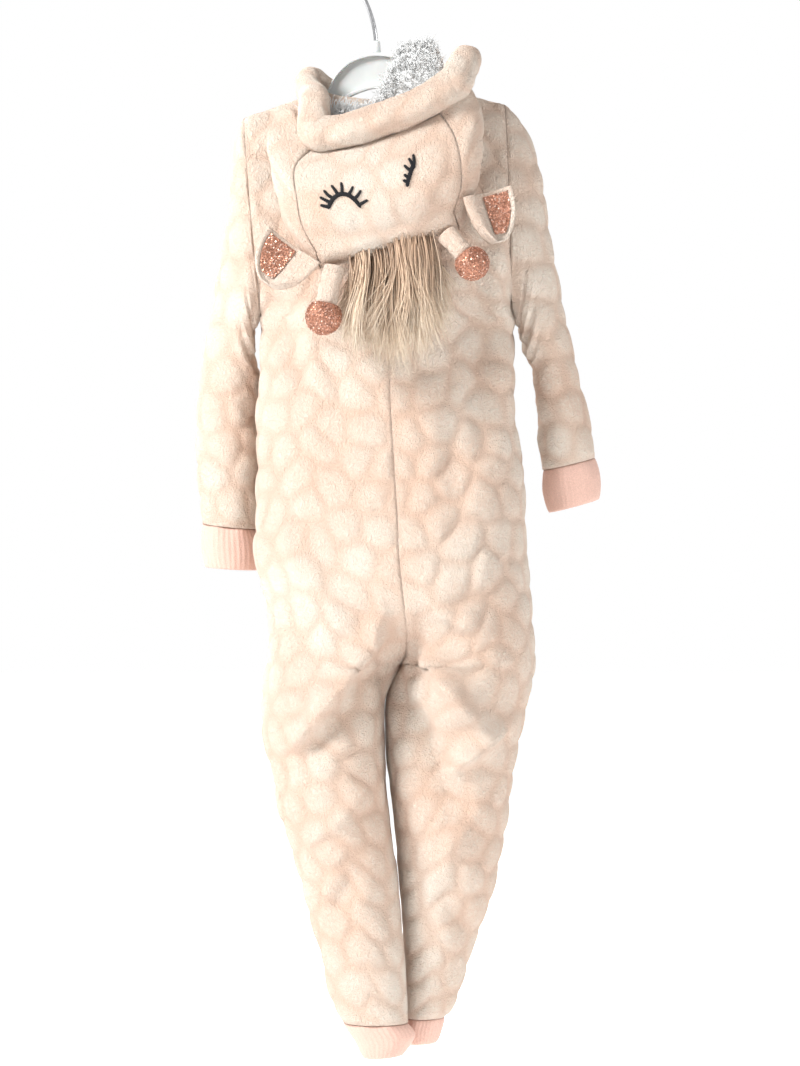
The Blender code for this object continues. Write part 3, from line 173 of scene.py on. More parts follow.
# Main creases: a line on the back or front, how wide it is, how far it lifts the cloth, and how
# much steeper its lower side is
Fold = namedtuple("Fold", "face x0 z0 x1 z1 width height steep")
FOLDS = [
    Fold("back", -18, -624, 73, -759, 17, 9, 1.8),
    Fold("back", -16, -676, 85, -787, 14, -7, 1.0),
    Fold("back", -46, -664, -96, -742, 16, 12, 1.8),
    Fold("back", -12, -700, -62, -776, 13, -6, 1.0),
    Fold("back", -71, -782, -122, -740, 14, 9, 1.6),
    Fold("back", -34, -736, -90, -845, 16, -6, 1.0),
    Fold("back", -118, -300, -117, -480, 13, 5, 1.0),
    Fold("back", -96, -290, -100, -470, 16, -6, 1.0),
    Fold("back", 96, -330, 70, -430, 16, -5, 1.0),
    Fold("back", 84, -560, 40, -640, 18, 5, 1.4),
    Fold("back", -60, -900, -90, -950, 12, -4, 1.0),
    Fold("back", 20, -880, 50, -935, 12, -4, 1.0),
    Fold("back", -30, -610, -110, -655, 14, 4, 1.4),
    Fold("back", -92, -820, -60, -880, 13, 3, 1.2),
    Fold("back", 6, -800, 60, -850, 13, 3, 1.4),
    Fold("back", -70, -360, -74, -560, 15, -3, 1.0),
    Fold("back", 36, -330, 42, -520, 16, -2.5, 1.0),
    Fold("front", 30, -620, 88, -750, 17, 7, 1.5),
    Fold("front", 6, -690, 70, -800, 14, -6, 1.0),
    Fold("front", -60, -640, -120, -745, 16, 7, 1.5),
    Fold("front", -40, -720, -110, -820, 15, -6, 1.0),
    Fold("front", 90, -300, 84, -470, 15, -6, 1.0),
    Fold("front", -104, -300, -96, -500, 15, -6, 1.0),
    Fold("front", -70, -880, -90, -950, 12, -4, 1.0),
    Fold("front", 30, -870, 50, -940, 12, -4, 1.0),
]

HoodRow = namedtuple("HoodRow", "left_x left_z right_x right_z inside outside drop rise")
HOOD = [
    HoodRow(88, -152, -88, -130, 35, 116, 48, -14),
    HoodRow(98, -174, -95, -148, 52, 126, 38, -4),
    HoodRow(99, -200, -99, -170, 62, 133, 26, 4),
    HoodRow(92, -236, -99, -199, 68, 138, 12, 2),
    HoodRow(83, -268, -95, -228, 72, 136, 4, 0),
    HoodRow(66, -295, -84, -252, 75, 129, 0, 0),
]
HOOD_LEAN = 0.35
HOOD_ROUND = 2.5
HOOD_SEAM = (52.0, 34.0)
HOOD_CROWN_DROP = 17.0
LINING = 3.5
LINING_GAP = 10.0
LINING_SLANT = 17.0
LINING_TOP = 0.16
LINING_END = 0.98
LINING_RISE = 56.0
LINING_RISE_FROM = 0.12
LINING_RISE_FULL = -0.36
LINING_RISE_LEAN = 0.45

BAND_ARC = (52, 160, 10)
BAND_RADIUS = 15.0
BAND_GAP = 1.3
BandPoint = namedtuple("BandPoint", "x y z radius")
BAND_LEFT = [
    BandPoint(-7.4, -33, -174, 9),
    BandPoint(14, -34, -171, 10.5),
    BandPoint(38, -34, -145, 11.5),
    BandPoint(58, -16, -128, 11),
    BandPoint(64, 12, -128, 10.5),
    BandPoint(62, 40, -139, 12),
    BandPoint(58, 68, -148, 13),
    BandPoint(57, 91, -154.5, 13.5),
]
BAND_RIGHT = [
    BandPoint(-84, 74, -114, 13.5),
    BandPoint(-84, 46, -117, 12.5),
    BandPoint(-80, 20, -120.5, 11),
    BandPoint(-70, -8, -123.5, 11),
    BandPoint(-52, -30, -142, 11.5),
    BandPoint(-30, -37, -165, 10.5),
    BandPoint(-8.6, -33, -174, 9),
]

Ear = namedtuple("Ear", "side root tip face width cup")
EARS = [
    Ear("left", (74.9, 111.7, -287), (100.9, 117.7, -322), (0.10, 1.0, 0.15), 60, 9),
    Ear("right", (-101.9, 111.7, -237.6), (-114.9, 115.7, -283.6), (-0.30, 1.0, 0.10), 48, 9),
]
EAR_WALL = 3.5
SEQUIN_WALL = 1.6

Horn = namedtuple("Horn", "side root tip ball stem")
HORNS = [
    Horn("left", (38.5, 117, -305.9), (45.5, 125, -341), 17.0, 11.0),
    Horn("right", (-66.2, 116.5, -275), (-83, 125, -295), 16.0, 10.5),
]

MANE_ACROSS = (0.44, -0.50)
MANE_ROUND = (48.0, 140.0)
MANE_LENGTHS = [(0.0, 70.0), (0.3, 100.0), (0.6, 106.0), (0.85, 84.0), (1.0, 62.0)]

HOOK_WIRE = 2.0
HOOK_RADIUS = 24.0
HOOK_START = -38.0
HOOK_END = 205.0
FERRULE_TOP = -90.0
FERRULE_RADIUS = 5.0
HANGER_THICK = 13.0
HANGER_RIM = 3.6
HANGER_WEB = 4.0
Arm = namedtuple("Arm", "x top bottom")
HANGER = [
    Arm(117, -172, -181), Arm(105, -167.5, -183), Arm(80, -159, -180), Arm(60, -151.5, -172),
    Arm(47, -138, -160), Arm(38, -121, -152), Arm(26, -109, -144), Arm(12, -103, -138),
    Arm(0, -101, -135), Arm(-12, -102, -136), Arm(-26, -106, -140), Arm(-38, -116, -146),
    Arm(-48, -131, -153), Arm(-60, -147, -163), Arm(-80, -152, -169), Arm(-104, -157, -172),
    Arm(-114, -160, -170),
]
HANGER_ROUND = 0.9
TAPE_THICK = 1.6
TAPE_END = ZIP_END + 21
TAPE_LIFT = 0.9
TOOTH_PITCH = 2.6

# How far the inner side of each cloth lies behind the form that it is sewn on
BODY_WALL = 3.2
SLEEVE_WALL = 3.4
CUFF_WALL = 2.6
HOOD_WALL = 3.6
# How far cobbles stand out and sink, the distance from a seam in which they fade, and the relief there,
# which sets how much painted groove shade the seams get
COBBLE_OUT = 0.5
COBBLE_SINK = 0.3
SEAM_FADE = 7
SEAM_RELIEF = 0.35
# Cloth that was cut to cloth that shows
SEWN_IN = 1.03
CUFF_GRID = (144, 24)
CUFF_RIBS = 36
CUFF_RIB_HIGH = 0.55
CUFF_LENGTH = 60
LINING_GRID = (220, 92)
LINING_CURL = (8.5, 4.0)

# Columns of a quarter of the body and of a sleeve, and the distance between their rows
BODY_COLUMNS = 64
SLEEVE_COLUMNS = 96
BODY_STEP = 2.7
# A wall's inner side keeps one row and column in so many of its outer side's
INNER_STEP = 4
# How far up and down the cloth is eased where its section changes, and how often
EASE_REACH = 34
EASE_PASSES = 70
# Rows of the hood's panels, and the angle at which their seams start
HOOD_ROWS = 56
HOOD_SIDE_ANGLE = 52
# How many locks and hairs the mane has, wisps the lining, and sequins an ear and a ball
MANE_LOCKS = 84
MANE_HAIRS = 3000
SHERPA_WISPS = 4300
EAR_SEQUINS = 620
BALL_SEQUINS = 1700

# Photograph: its width and height in pixels, millimetres to a pixel, and where x and z are 0
PHOTO = (800, 1066)
PHOTO_SCALE = 0.96
PHOTO_ZERO = (376, -101, 55)
CAMERA_AWAY = 4000.0
CAMERA_RISE = 3.0

# Embroidered lashes in the photograph's pixels: the lid's arc, then each lash from lid to tip
LASHES = {
    "left": (
        [(328, 209), (331, 202), (335, 197), (341, 194), (348, 195), (355, 200), (361, 208)],
        [[(329, 207), (324, 206), (320, 205)], [(331, 203), (325, 200), (319.5, 197)],
         [(334, 199), (328, 195), (323.5, 190)], [(338, 195), (335, 190), (331, 185)],
         [(342, 194), (342, 188), (341, 182)], [(348, 195), (351, 191), (353, 186)],
         [(354, 199), (358, 195), (361, 190)], [(359, 205), (364, 202), (368, 200)]],
    ),
    "right": (
        [(415, 165), (412, 168), (410, 174), (408, 181), (407, 187)],
        [[(413, 167), (411, 162), (408.5, 158)], [(411, 171), (407, 168), (404, 165)],
         [(409, 177), (406, 176), (404, 174)], [(414, 166), (414, 160), (413, 154)],
         [(408, 182), (405, 181), (403, 180)]],
    ),
}


def along(rows, key, column, value):
    """Values of a table's column where its key has those values, on a smooth curve."""
    keys = np.array([getattr(row, key) for row in rows], float)
    values = np.array([getattr(row, column) for row in rows], float)
    value = np.asarray(value, float)
    if keys[0] > keys[-1]:
        keys, value = -keys, -value
    last = len(keys) - 1
    low, high = np.maximum(np.arange(last + 1) - 1, 0), np.minimum(np.arange(last + 1) + 1, last)
    slopes = (values[high] - values[low]) / (keys[high] - keys[low])
    value = np.clip(value, keys[0], keys[-1])
    i = np.clip(np.searchsorted(keys, value) - 1, 0, last - 1)
    span = keys[i + 1] - keys[i]
    t = (value - keys[i]) / span
    return ((2 * t**3 - 3 * t**2 + 1) * values[i] + (t**3 - 2 * t**2 + t) * span * slopes[i]
            + (3 * t**2 - 2 * t**3) * values[i + 1] + (t**3 - t**2) * span * slopes[i + 1])


def table_at(rows, share):
    """Columns of a table at shares of the way down it, as a namedtuple of arrays."""
    kind = type(rows[0])
    Place = namedtuple("Place", ("place",) + kind._fields)
    placed = [Place(i / (len(rows) - 1), *row) for i, row in enumerate(rows)]
    return kind(*(along(placed, "place", name, share) for name in kind._fields))


def smooth(low, high, value):
    """0 below low, 1 above high, and a smooth step between."""
    t = np.clip((np.asarray(value, float) - low) / (high - low), 0, 1)
    return t * t * (3 - 2 * t)


def unit(vectors):
    """Vectors of length 1."""
    return vectors / np.maximum(np.linalg.norm(vectors, axis=-1, keepdims=True), 1e-9)


def stack(x, y, z):
    """Points from arrays of coordinates that fit each other's shapes."""
    return np.stack(np.broadcast_arrays(x, y, z), axis=-1).astype(float)


def respaced(grid, columns, closed=False, start=0.0, end=0.0):
    """Each row of a grid at even distances, from start after its first point to end before its last."""
    if closed:
        grid = np.concatenate([grid, grid[:, :1]], axis=1)
    steps = np.linalg.norm(np.diff(grid, axis=1), axis=2)
    lengths = np.concatenate([np.zeros((len(grid), 1)), np.cumsum(steps, axis=1)], axis=1)
    start, end = np.broadcast_to(start, len(grid)), np.broadcast_to(end, len(grid))
    out = np.empty((len(grid), columns + 1, 3))
    for r in range(len(grid)):
        targets = np.linspace(start[r], lengths[r, -1] - end[r], columns + 1)
        for k in range(3):
            out[r, :, k] = np.interp(targets, lengths[r], grid[r, :, k])
    return out[:, :-1] if closed else out


def widths_and_depths(grid):
    """Distance along each row from its first column, and down each column from the first row."""
    across = np.linalg.norm(np.diff(grid, axis=1), axis=2)
    down = np.linalg.norm(np.diff(grid, axis=0), axis=2)
    u = np.concatenate([np.zeros((len(grid), 1)), np.cumsum(across, axis=1)], axis=1)
    v = np.concatenate([np.zeros((1, grid.shape[1])), np.cumsum(down, axis=0)], axis=0)
    return u, v


def waves(points, length, seed, octaves=3):
    """Smooth bumps of about -1 to 1 over points, from sums of turned sine waves."""
    rng = np.random.default_rng(seed)
    total = np.zeros(points.shape[:-1])
    weight = 0.0
    for octave in range(octaves):
        for _ in range(5):
            way = unit(rng.normal(size=3))
            size = length / 2**octave * rng.uniform(0.8, 1.25)
            phase = rng.uniform(0, 2 * math.pi)
            total += np.sin(points @ way * 2 * math.pi / size + phase) / 2**octave
            weight += 0.5 / 2**octave
    return total / weight


def cobbles(u, v, size, seed):
    """Distance to the nearest groove of a cobbled pattern, and each cobble's own number."""
    table = np.random.default_rng(seed).uniform(-1, 1, size=(64, 64, 3))
    high = size * 0.86
    row = np.floor(v / high).astype(int)
    centres = []
    for di in range(-2, 3):
        i = row + di
        shift = 0.5 * (i % 2)
        column = np.floor(u / size - shift).astype(int)
        for dj in range(-2, 3):
            j = column + dj
            noise = table[i % 64, j % 64]
            x = (j + 0.5 + shift + 0.27 * noise[..., 0]) * size
            y = (i + 0.5 + 0.27 * noise[..., 1]) * high
            centres.append(np.stack([x, y, noise[..., 2]], axis=-1))
    centres = np.stack(centres)
    offsets = np.stack([centres[..., 0] - u, centres[..., 1] - v], axis=-1)
    away = np.linalg.norm(offsets, axis=-1)
    first = away.argmin(axis=0)
    nearest = np.take_along_axis(offsets, first[None, ..., None], axis=0)[0]
    number = np.take_along_axis(centres[..., 2], first[None], axis=0)[0]
    between = offsets - nearest
    span = np.linalg.norm(between, axis=-1)
    span[span < 1e-6] = 1e9
    edge = ((offsets + nearest) / 2 * between).sum(-1) / span
    edge = np.where(span > 1e8, 1e3, edge)
    sharp = 0.42
    soft = -np.log(np.exp(-sharp * np.clip(edge, -20, 200)).sum(axis=0)) / sharp
    return np.maximum(soft, 0), number


def cobble_height(u, v, size, seed, height):
    """Height of the embossing, and how far each point is out of a groove, from 0 to 1."""
    edge, number = cobbles(u, v, size, seed)
    rise = np.clip(edge / (size * 0.36), 0, 1)
    lift = 1 - (1 - rise) ** 2.1
    return height * lift * (0.82 + 0.18 * number) - 0.5, np.clip(edge / (size * 0.22), 0, 1)


def fold_lift(face, points):
    """How far the creases of that face lift the cloth at points."""
    total = np.zeros(points.shape[:-1])
    for fold in FOLDS:
        if fold.face != face:
            continue
        start = np.array((fold.x0, fold.z0), float)
        line = np.array((fold.x1, fold.z1), float) - start
        flat = points[..., [0, 2]] - start
        t = np.clip(flat @ line / (line @ line), 0, 1)
        away = flat - t[..., None] * line
        side = away[..., 1]
        distance = np.linalg.norm(away, axis=-1)
        below = 0.5 - 0.5 * side / (distance + 3)
        distance = distance * (1 + (fold.steep - 1) * below)
        ends = np.sin(math.pi * (0.12 + 0.76 * t))
        total += FOLD_GAIN * fold.height * ends * np.exp(-(distance / fold.width / 0.9) ** 2)
    return total


def sleeve_of(side):
    """Table of the sleeve on that side."""
    return LEFT_SLEEVE if side > 0 else RIGHT_SLEEVE


def armhole_point(sleeve, z):
    """Edge of the armhole at heights: x and the half width of the hole."""
    top, bottom = sleeve[0].outer_z, sleeve[0].inner_z
    share = (np.asarray(z, float) - bottom) / (top - bottom)
    x = sleeve[0].inner_x + (sleeve[0].outer_x - sleeve[0].inner_x) * share
    across = 2 * share - 1
    return x, sleeve[0].depth * np.sqrt(np.maximum(0.0, 1 - across * across))


def section(side, face, share, level):
    """Points of a quarter of the body: share is 0 at the centre seam, 1 at the side."""
    sleeve = sleeve_of(side)
    legs = LEFT_LEG if side > 0 else RIGHT_LEG
    sign = 1 if face == "back" else -1
    share, level = np.broadcast_arrays(share, level)
    seam = along(TORSO, "z", "seam", level)
    deep = along(TORSO, "z", face, level)
    underarm = sleeve[0].inner_z
    arm_x, arm_half = armhole_point(sleeve, np.maximum(level, underarm))
    above = level >= underarm
    edge = np.where(above, arm_x, along(TORSO, "z", "left" if side > 0 else "right", level))
    hole = np.where(above, arm_half, 0.0)
    rounded = FLAT_EDGE + (BODY_ROUND - FLAT_EDGE) * np.clip((underarm - level) / 60, 0, 1)
    across = np.sin(share * math.pi / 2)
    y = hole + (deep - hole) * np.maximum(0.0, 1 - across**BODY_ROUND) ** (1 / rounded)
    torso = stack(seam + (edge - seam) * across, sign * y, level)
    outer, inner = along(legs, "z", "outer", level), along(legs, "z", "inner", level)
    turn = math.pi * (1 - share)
    leg = stack((outer + inner) / 2 + (outer - inner) / 2 * np.cos(turn),
                along(legs, "z", "y", level)
                + sign * along(legs, "z", "depth", level) * np.sin(turn), level)
    # The torso parts into legs in an arch at the centre seam, and evenly away from it
    passed = np.clip((CROTCH_TOP - level) / (CROTCH_TOP - CROTCH), 0, 1)
    arch = 1 - np.sqrt(1 - passed * passed)
    even = 1 - smooth(CROTCH - 45, CROTCH_TOP, level)
    parted = (arch + (even - arch) * smooth(0.02, 0.26, share))[..., None]
    return torso + (leg - torso) * parted


def top_edge(side, face, share):
    """Neckline and shoulder seam: the upper edge of a quarter of the body."""
    sleeve = sleeve_of(side)
    tip = np.array((sleeve[0].outer_x, 0, sleeve[0].outer_z), float)
    y, z = NECK_BACK if face == "back" else NECK_FRONT
    centre = np.array((TORSO[0].seam, y, z), float)
    neck = np.array((centre[0] + (tip[0] - centre[0]) * NECK_SHARE, 0,
                     NECK_SIDE_Z + (tip[2] - NECK_SIDE_Z) * 0.12))
    turn = np.minimum(share / NECK_SHARE, 1) * math.pi / 2
    near = np.maximum(0.0, np.cos(turn))
    line = stack(centre[0] + (neck[0] - centre[0]) * np.sin(turn),
                 centre[1] * near ** NECK_SQUARE[0],
                 neck[2] + (centre[2] - neck[2]) * near ** NECK_SQUARE[1])
    shoulder = neck + (tip - neck) * (np.maximum(share - NECK_SHARE, 0) / (1 - NECK_SHARE))[:, None]
    return np.where((share > NECK_SHARE)[:, None], shoulder, line)


def eased(grid, level):
    """The grid with its step at a level eased, away from its two seams."""
    near = np.exp(-((grid[:, 0, 2] - level) / EASE_REACH) ** 2)[:, None, None]
    share = np.linspace(0, 1, grid.shape[1])
    weight = near * (smooth(0, 0.08, share) * (1 - smooth(0.9, 1.0, share)))[None, :, None]
    for _ in range(EASE_PASSES):
        middle = grid.copy()
        middle[1:-1] = (grid[:-2] + grid[2:]) / 2
        grid = grid + (middle - grid) * weight * 0.9
    return grid


def quarter_grid(side, face, columns, step):
    """Points of one quarter of the body, from its top edge down to the ankle."""
    share = np.linspace(0, 1, DENSE + 1)
    sleeve = sleeve_of(side)
    sign = 1 if face == "back" else -1
    top = top_edge(side, face, share)
    low = section(side, face, share, FIRST_LEVEL)
    count = round(40 / step)
    down = (np.arange(count) / count)[:, None]
    out = np.sqrt(1 - (1 - down) ** 2)
    shoulder = top[None] + (low - top)[None] * down[..., None]
    shoulder[..., 1] = top[None, :, 1] + (low - top)[None, :, 1] * out
    arm_x, arm_half = armhole_point(sleeve, shoulder[:, -1, 2])
    fade = smooth(0.6, 1.0, share)[None]
    shoulder[..., 0] += (arm_x - shoulder[:, -1, 0])[:, None] * fade
    shoulder[..., 1] += (sign * arm_half - shoulder[:, -1, 1])[:, None] * fade
    levels = np.linspace(FIRST_LEVEL, LEG_END, round((FIRST_LEVEL - LEG_END) / step) + 1)
    body = section(side, face, share[None], levels[:, None])
    grid = np.concatenate([shoulder, body])
    grid = eased(eased(grid, sleeve[0].inner_z), CROTCH + 6)
    gap = SEAM_GAP / 2
    if face == "front":
        # The fronts stand apart at the zip, and meet below the end of its tapes
        gap = gap + (ZIP_HALF + SEAM_GAP / 2) * smooth(TAPE_END - 9, TAPE_END, grid[:, 0, 2])
    return respaced(grid, columns, start=gap, end=SEAM_GAP / 2)


def grid_normals(grid, closed=False):
    """Normals of a grid of points, from the neighbours on each side."""
    if closed:
        beside = np.roll(grid, -1, axis=1) - np.roll(grid, 1, axis=1)
    else:
        beside = np.gradient(grid, axis=1)
    return unit(np.cross(beside, -np.gradient(grid, axis=0)))


def body_normals(own, across_side, across_centre, side, face):
    """Outward normals of a quarter that agree with its neighbours' at the seams."""
    vertical = np.gradient(own, axis=0)
    beside = np.gradient(own, axis=1)
    level = own[:, 0, 2]
    passed = np.clip((CROTCH_TOP - level) / (CROTCH_TOP - CROTCH), 0, 1)
    leg = (1 - np.sqrt(1 - passed * passed))[:, None]
    beside[:, 0] = (unit(own[:, 1] - across_centre[:, 1]) * (1 - leg)
                    + unit(own[:, 1] - across_side[:, 1]) * leg)
    below = level < sleeve_of(side)[0].inner_z
    beside[below, -1] = (across_side[:, -2] - own[:, -2])[below]
    return unit(np.cross(beside, vertical)) * (1 if (side > 0) == (face == "back") else -1)


def shell(name, outer, inner, closed=False, cap=False, relief=None):
    """Closed cloth wall from a fine outer grid and a coarser inner one, both in millimetres.

    inner holds the rows and columns that thinned() keeps of the outer grid, moved in by the wall.
    """
    made = bmesh.new()
    kept = made.verts.layers.float.new("relief")
    rows, columns = outer.shape[:2]
    out = [[made.verts.new(p) for p in row * MM] for row in outer]
    ins = [[made.verts.new(p) for p in row * MM] for row in inner]
    for line, values in zip(out, np.ones((rows, columns)) if relief is None else relief):
        for vertex, value in zip(line, values):
            vertex[kept] = float(value)
    wide = columns if closed else columns - 1
    inner_wide = len(ins[0]) if closed else len(ins[0]) - 1
    for r in range(rows - 1):
        for c in range(wide):
            d = (c + 1) % columns
            made.faces.new((out[r][c], out[r][d], out[r + 1][d], out[r + 1][c]))
    for r in range(len(ins) - 1):
        for c in range(inner_wide):
            d = (c + 1) % len(ins[0])
            made.faces.new((ins[r][c], ins[r + 1][c], ins[r + 1][d], ins[r][d]))

    def stitch(fine, plain):
        """Faces along an edge, from its fine outer line to its coarser inner one."""
        for k in range(len(plain) - 1):
            first, last = k * INNER_STEP, min((k + 1) * INNER_STEP, len(fine) - 1)
            middle = (first + last + 1) // 2
            for i in range(first, last):
                near = plain[k] if i < middle else plain[k + 1]
                made.faces.new((fine[i + 1], fine[i], near))
            made.faces.new((fine[middle], plain[k], plain[k + 1]))

    def around(line, plain):
        """Both lines of an end, with their first points again where the wall is a tube."""
        if closed:
            return line + line[:1], plain + plain[:1]
        return line, plain

    stitch(*around(out[0], ins[0]))
    if cap:
        for ring in (out[-1], ins[-1]):
            centre = made.verts.new(sum((v.co for v in ring), Vector()) / len(ring))
            for c in range(len(ring)):
                made.faces.new((ring[c], ring[(c + 1) % len(ring)], centre))
    else:
        stitch(*around(out[-1], ins[-1]))
    if not closed:
        stitch([line[0] for line in out], [line[0] for line in ins])
        stitch([line[-1] for line in out], [line[-1] for line in ins])
    bmesh.ops.remove_doubles(made, verts=made.verts, dist=1e-6)
    bmesh.ops.recalc_face_normals(made, faces=made.faces)
    mesh = bpy.data.meshes.new(name)
    made.to_mesh(mesh)
    made.free()
    mesh.shade_smooth()
    return put(name, mesh)


def put(name, mesh):
    """Object of that mesh in the scene, at the origin."""
    made = bpy.data.objects.new(name, mesh)
    bpy.context.scene.collection.objects.link(made)
    return made


def thinned(grid, closed=False):
    """The rows and columns of a grid that a wall's inner side keeps, with its last ones."""
    rows = list(range(0, grid.shape[0] - 1, INNER_STEP)) + [grid.shape[0] - 1]
    if closed:
        columns = list(range(0, grid.shape[1], INNER_STEP))
    else:
        columns = list(range(0, grid.shape[1] - 1, INNER_STEP)) + [grid.shape[1] - 1]
    return grid[np.ix_(rows, columns)]


def dress(piece, finish, slot, *nodes):
    """Give a piece its finish, and let it ride with the garment and stand for its nodes; slot is not used.
    """
    piece.data.materials.append(finish)
    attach(piece, CLOTH)
    if nodes:
        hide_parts(*nodes)


def area_of(grid, closed=False):
    """Area of the surface through a grid of points, in square metres."""
    if closed:
        grid = np.concatenate([grid, grid[:, :1]], axis=1)
    a, b, c, d = grid[:-1, :-1], grid[:-1, 1:], grid[1:, 1:], grid[1:, :-1]
    return float(np.linalg.norm(np.cross(c - a, d - b), axis=-1).sum()) / 2 * MM * MM


def cut(width, length, area, rests_on):
    """Work out the size that a cloth piece was cut to, in millimetres; nothing is kept."""
    width * MM
    min(area, width * length * MM * MM)


def legs_closer(left, right, u):
    """How far the inner edges of the legs lean towards each other, but for a slit at the knees."""
    gap = np.clip(left[:, 0, 0] - right[:, 0, 0], 0, 20)
    level = left[:, 0, 2]
    slit = smooth(-880, -866, level) * (1 - smooth(-800, -780, level))
    legs = 1 - smooth(CROTCH_TOP - 40, CROTCH_TOP - 6, level)
    return ((gap / 2 + 0.08) * legs * (1 - slit))[:, None] * np.exp(-((u / 20) ** 2))


def body_panels(finish, settings):
    """Left and right backs and fronts, each from shoulder to ankle."""
    size, high = settings.cobble_size / MM, settings.cobble_height / MM
    grids = {(s, f): quarter_grid(s, f, BODY_COLUMNS, BODY_STEP) for s in (1, -1) for f in ("back", "front")}
    for side in (1, -1):
        for face, other in (("back", "front"), ("front", "back")):
            name = face + ("_left" if side > 0 else "_right")
            seed = len(name) * 7 + side + (11 if face == "back" else 0)
            grid = grids[side, face]
            normals = body_normals(grid, grids[side, other], grids[-side, face], side, face)
            u, v = widths_and_depths(grid)
            width, length = u[:, -1:], v[-1:]
            level = grid[..., 2]
            near = np.minimum(np.minimum(u, width - u), np.minimum(v, length - v))
            fade = smooth(0, SEAM_FADE, near)
            in_leg = 1 - smooth(CROTCH_TOP - 30, CROTCH_TOP + 30, level)
            inner_leg = 1 - in_leg * (1 - smooth(8, 34, u))
            height, relief = cobble_height(width - u + 50 * side, v, size, seed, high)
            height = (height + COBBLE_OUT) * fade * np.maximum(inner_leg, 0.25) - COBBLE_SINK
            lift = fold_lift(face, grid) * smooth(0, 22, u) * smooth(0, 22, width - u) * inner_leg
            drape = (waves(grid, 95, seed) * 1.1 + waves(grid, 26, seed + 1) * 0.35) * fade * inner_leg
            closer = legs_closer(grids[1, face], grids[-1, face], u) * -side
            outer = grid + normals * (height + lift + drape)[..., None]
            inside = grid + normals * (np.minimum(lift + drape, 2) - BODY_WALL)[..., None]
            outer[..., 0] += closer
            inside[..., 0] += closer
            # Along the seams the relief falls to SEAM_RELIEF, so the plush paints groove shade there
            piece = shell(name + "_plush", outer, thinned(inside),
                          relief=relief * fade + (1 - fade) * SEAM_RELIEF)
            dress(piece, finish, "plush", name)
            cut(float(width.max()) + 20, float(length.max()) + 10, area_of(grid) * SEWN_IN,
                ["hanger"])


def ring_points(rings, share, columns):
    """Points round rings at shares of the way down a sleeve or cuff, from the outer end."""
    ring = table_at(rings, share)
    middle = np.stack([(ring.inner_x + ring.outer_x) / 2, ring.y, (ring.inner_z + ring.outer_z) / 2], -1)
    half = np.stack([(ring.outer_x - ring.inner_x) / 2, 0 * ring.y, (ring.outer_z - ring.inner_z) / 2], -1)
    turn = 2 * math.pi * np.arange(columns) / columns
    grid = middle[:, None] + half[:, None] * np.cos(turn)[None, :, None]
    grid[..., 1] += ring.depth[:, None] * np.sin(turn)[None]
    return grid, middle


def tube_normals(grid, middle):
    """Outward normals of a closed tube of points."""
    normals = grid_normals(grid, closed=True)
    k = len(grid) // 2
    if ((grid[k] - middle[k]) * normals[k]).sum(-1).mean() < 0:
        normals = -normals
    return normals


def sleeve_pattern(grid):
    """Level distance from the outside of the arm, and depth below the shoulder."""
    flat = np.concatenate([grid, grid[:, :1]], axis=1)[..., :2]
    steps = np.linalg.norm(np.diff(flat, axis=1), axis=2)
    total = np.concatenate([np.zeros((len(grid), 1)), np.cumsum(steps, axis=1)], axis=1)
    return total[:, :-1] - total[:, -1:] / 2 + 400, 100 - grid[..., 2]


def sleeves(finish, settings):
    """Sleeves from the armhole to the wrist, with gathers under the arm."""
    size, high = settings.cobble_size / MM, settings.cobble_height / MM
    columns = SLEEVE_COLUMNS
    for name, side in (("sleeve_left", 1), ("sleeve_right", -1)):
        rings = sleeve_of(side)
        length = sum(math.hypot(b.outer_x - a.outer_x, b.outer_z - a.outer_z)
                     for a, b in zip(rings, rings[1:]))
        rows = round(length / BODY_STEP / INNER_STEP) * INNER_STEP
        share = np.linspace(0, 1, rows + 1)
        grid, middle = ring_points(rings, share, columns)
        grid = respaced(grid, columns, closed=True)
        grid = np.roll(grid, columns // 2, axis=1)
        normals = tube_normals(grid, middle)
        lean = grid[0] - middle[0]
        lean[:, 1] *= (94.5 / rings[0].depth) ** 2
        start = unit(lean)
        blend = smooth(0, 14, np.arange(rows + 1) * length / rows)[:, None, None]
        normals = unit(normals * blend + start[None] * (1 - blend))
        closed = np.concatenate([grid, grid[:, :1]], axis=1)
        u, _ = widths_and_depths(closed)
        width, u = u[:, -1:], u[:, :-1]
        v = (share * length)[:, None] + 0 * u
        seam = np.minimum(u, width - u)
        fade = smooth(0, 8, np.minimum(seam, np.minimum(v, length - v)))
        beside, below = sleeve_pattern(grid)
        height, relief = cobble_height(beside, below, size, 31 + side, high * 0.85)
        height = (height + COBBLE_OUT) * fade - COBBLE_SINK
        inner_side = np.maximum(0.0, np.cos(2 * math.pi * u / width))
        inner_side = inner_side * (1 - smooth(0.9, 1.0, share))[:, None]
        tilt = share[:, None] + 0.03 * np.sin(4 * math.pi * u / width)
        gather = np.maximum(0.0, np.cos(10 * math.pi * tilt)) * inner_side * np.sin(math.pi * share)[:, None]
        bend = np.exp(-((share - 0.5) / 0.12) ** 2)[:, None]
        elbow = np.sin(18 * math.pi * tilt) * bend * (0.4 + inner_side) * 1.3
        puff = 2.2 * smooth(0.93, 1.0, share)[:, None] * np.cos(12 * math.pi * u / width)
        drape = waves(grid, 80, 5 + side) * 1.2 * fade + (puff * -0.4 + elbow) * fade - 4.0 * gather
        outer = grid + normals * (height + drape)[..., None]
        inside = thinned(grid + normals * (np.minimum(drape, 1) - SLEEVE_WALL)[..., None], closed=True)
        # Along the seams the relief falls to SEAM_RELIEF, so the plush paints groove shade there
        relief = relief * fade + (1 - fade) * SEAM_RELIEF
        piece = shell(name + "_plush", outer, inside, closed=True, relief=relief)
        dress(piece, finish, "plush", name)
        cut(float(width.max()), length + 5, area_of(grid, closed=True) * SEWN_IN,
            ["back_left_plush" if side > 0 else "back_right_plush"])


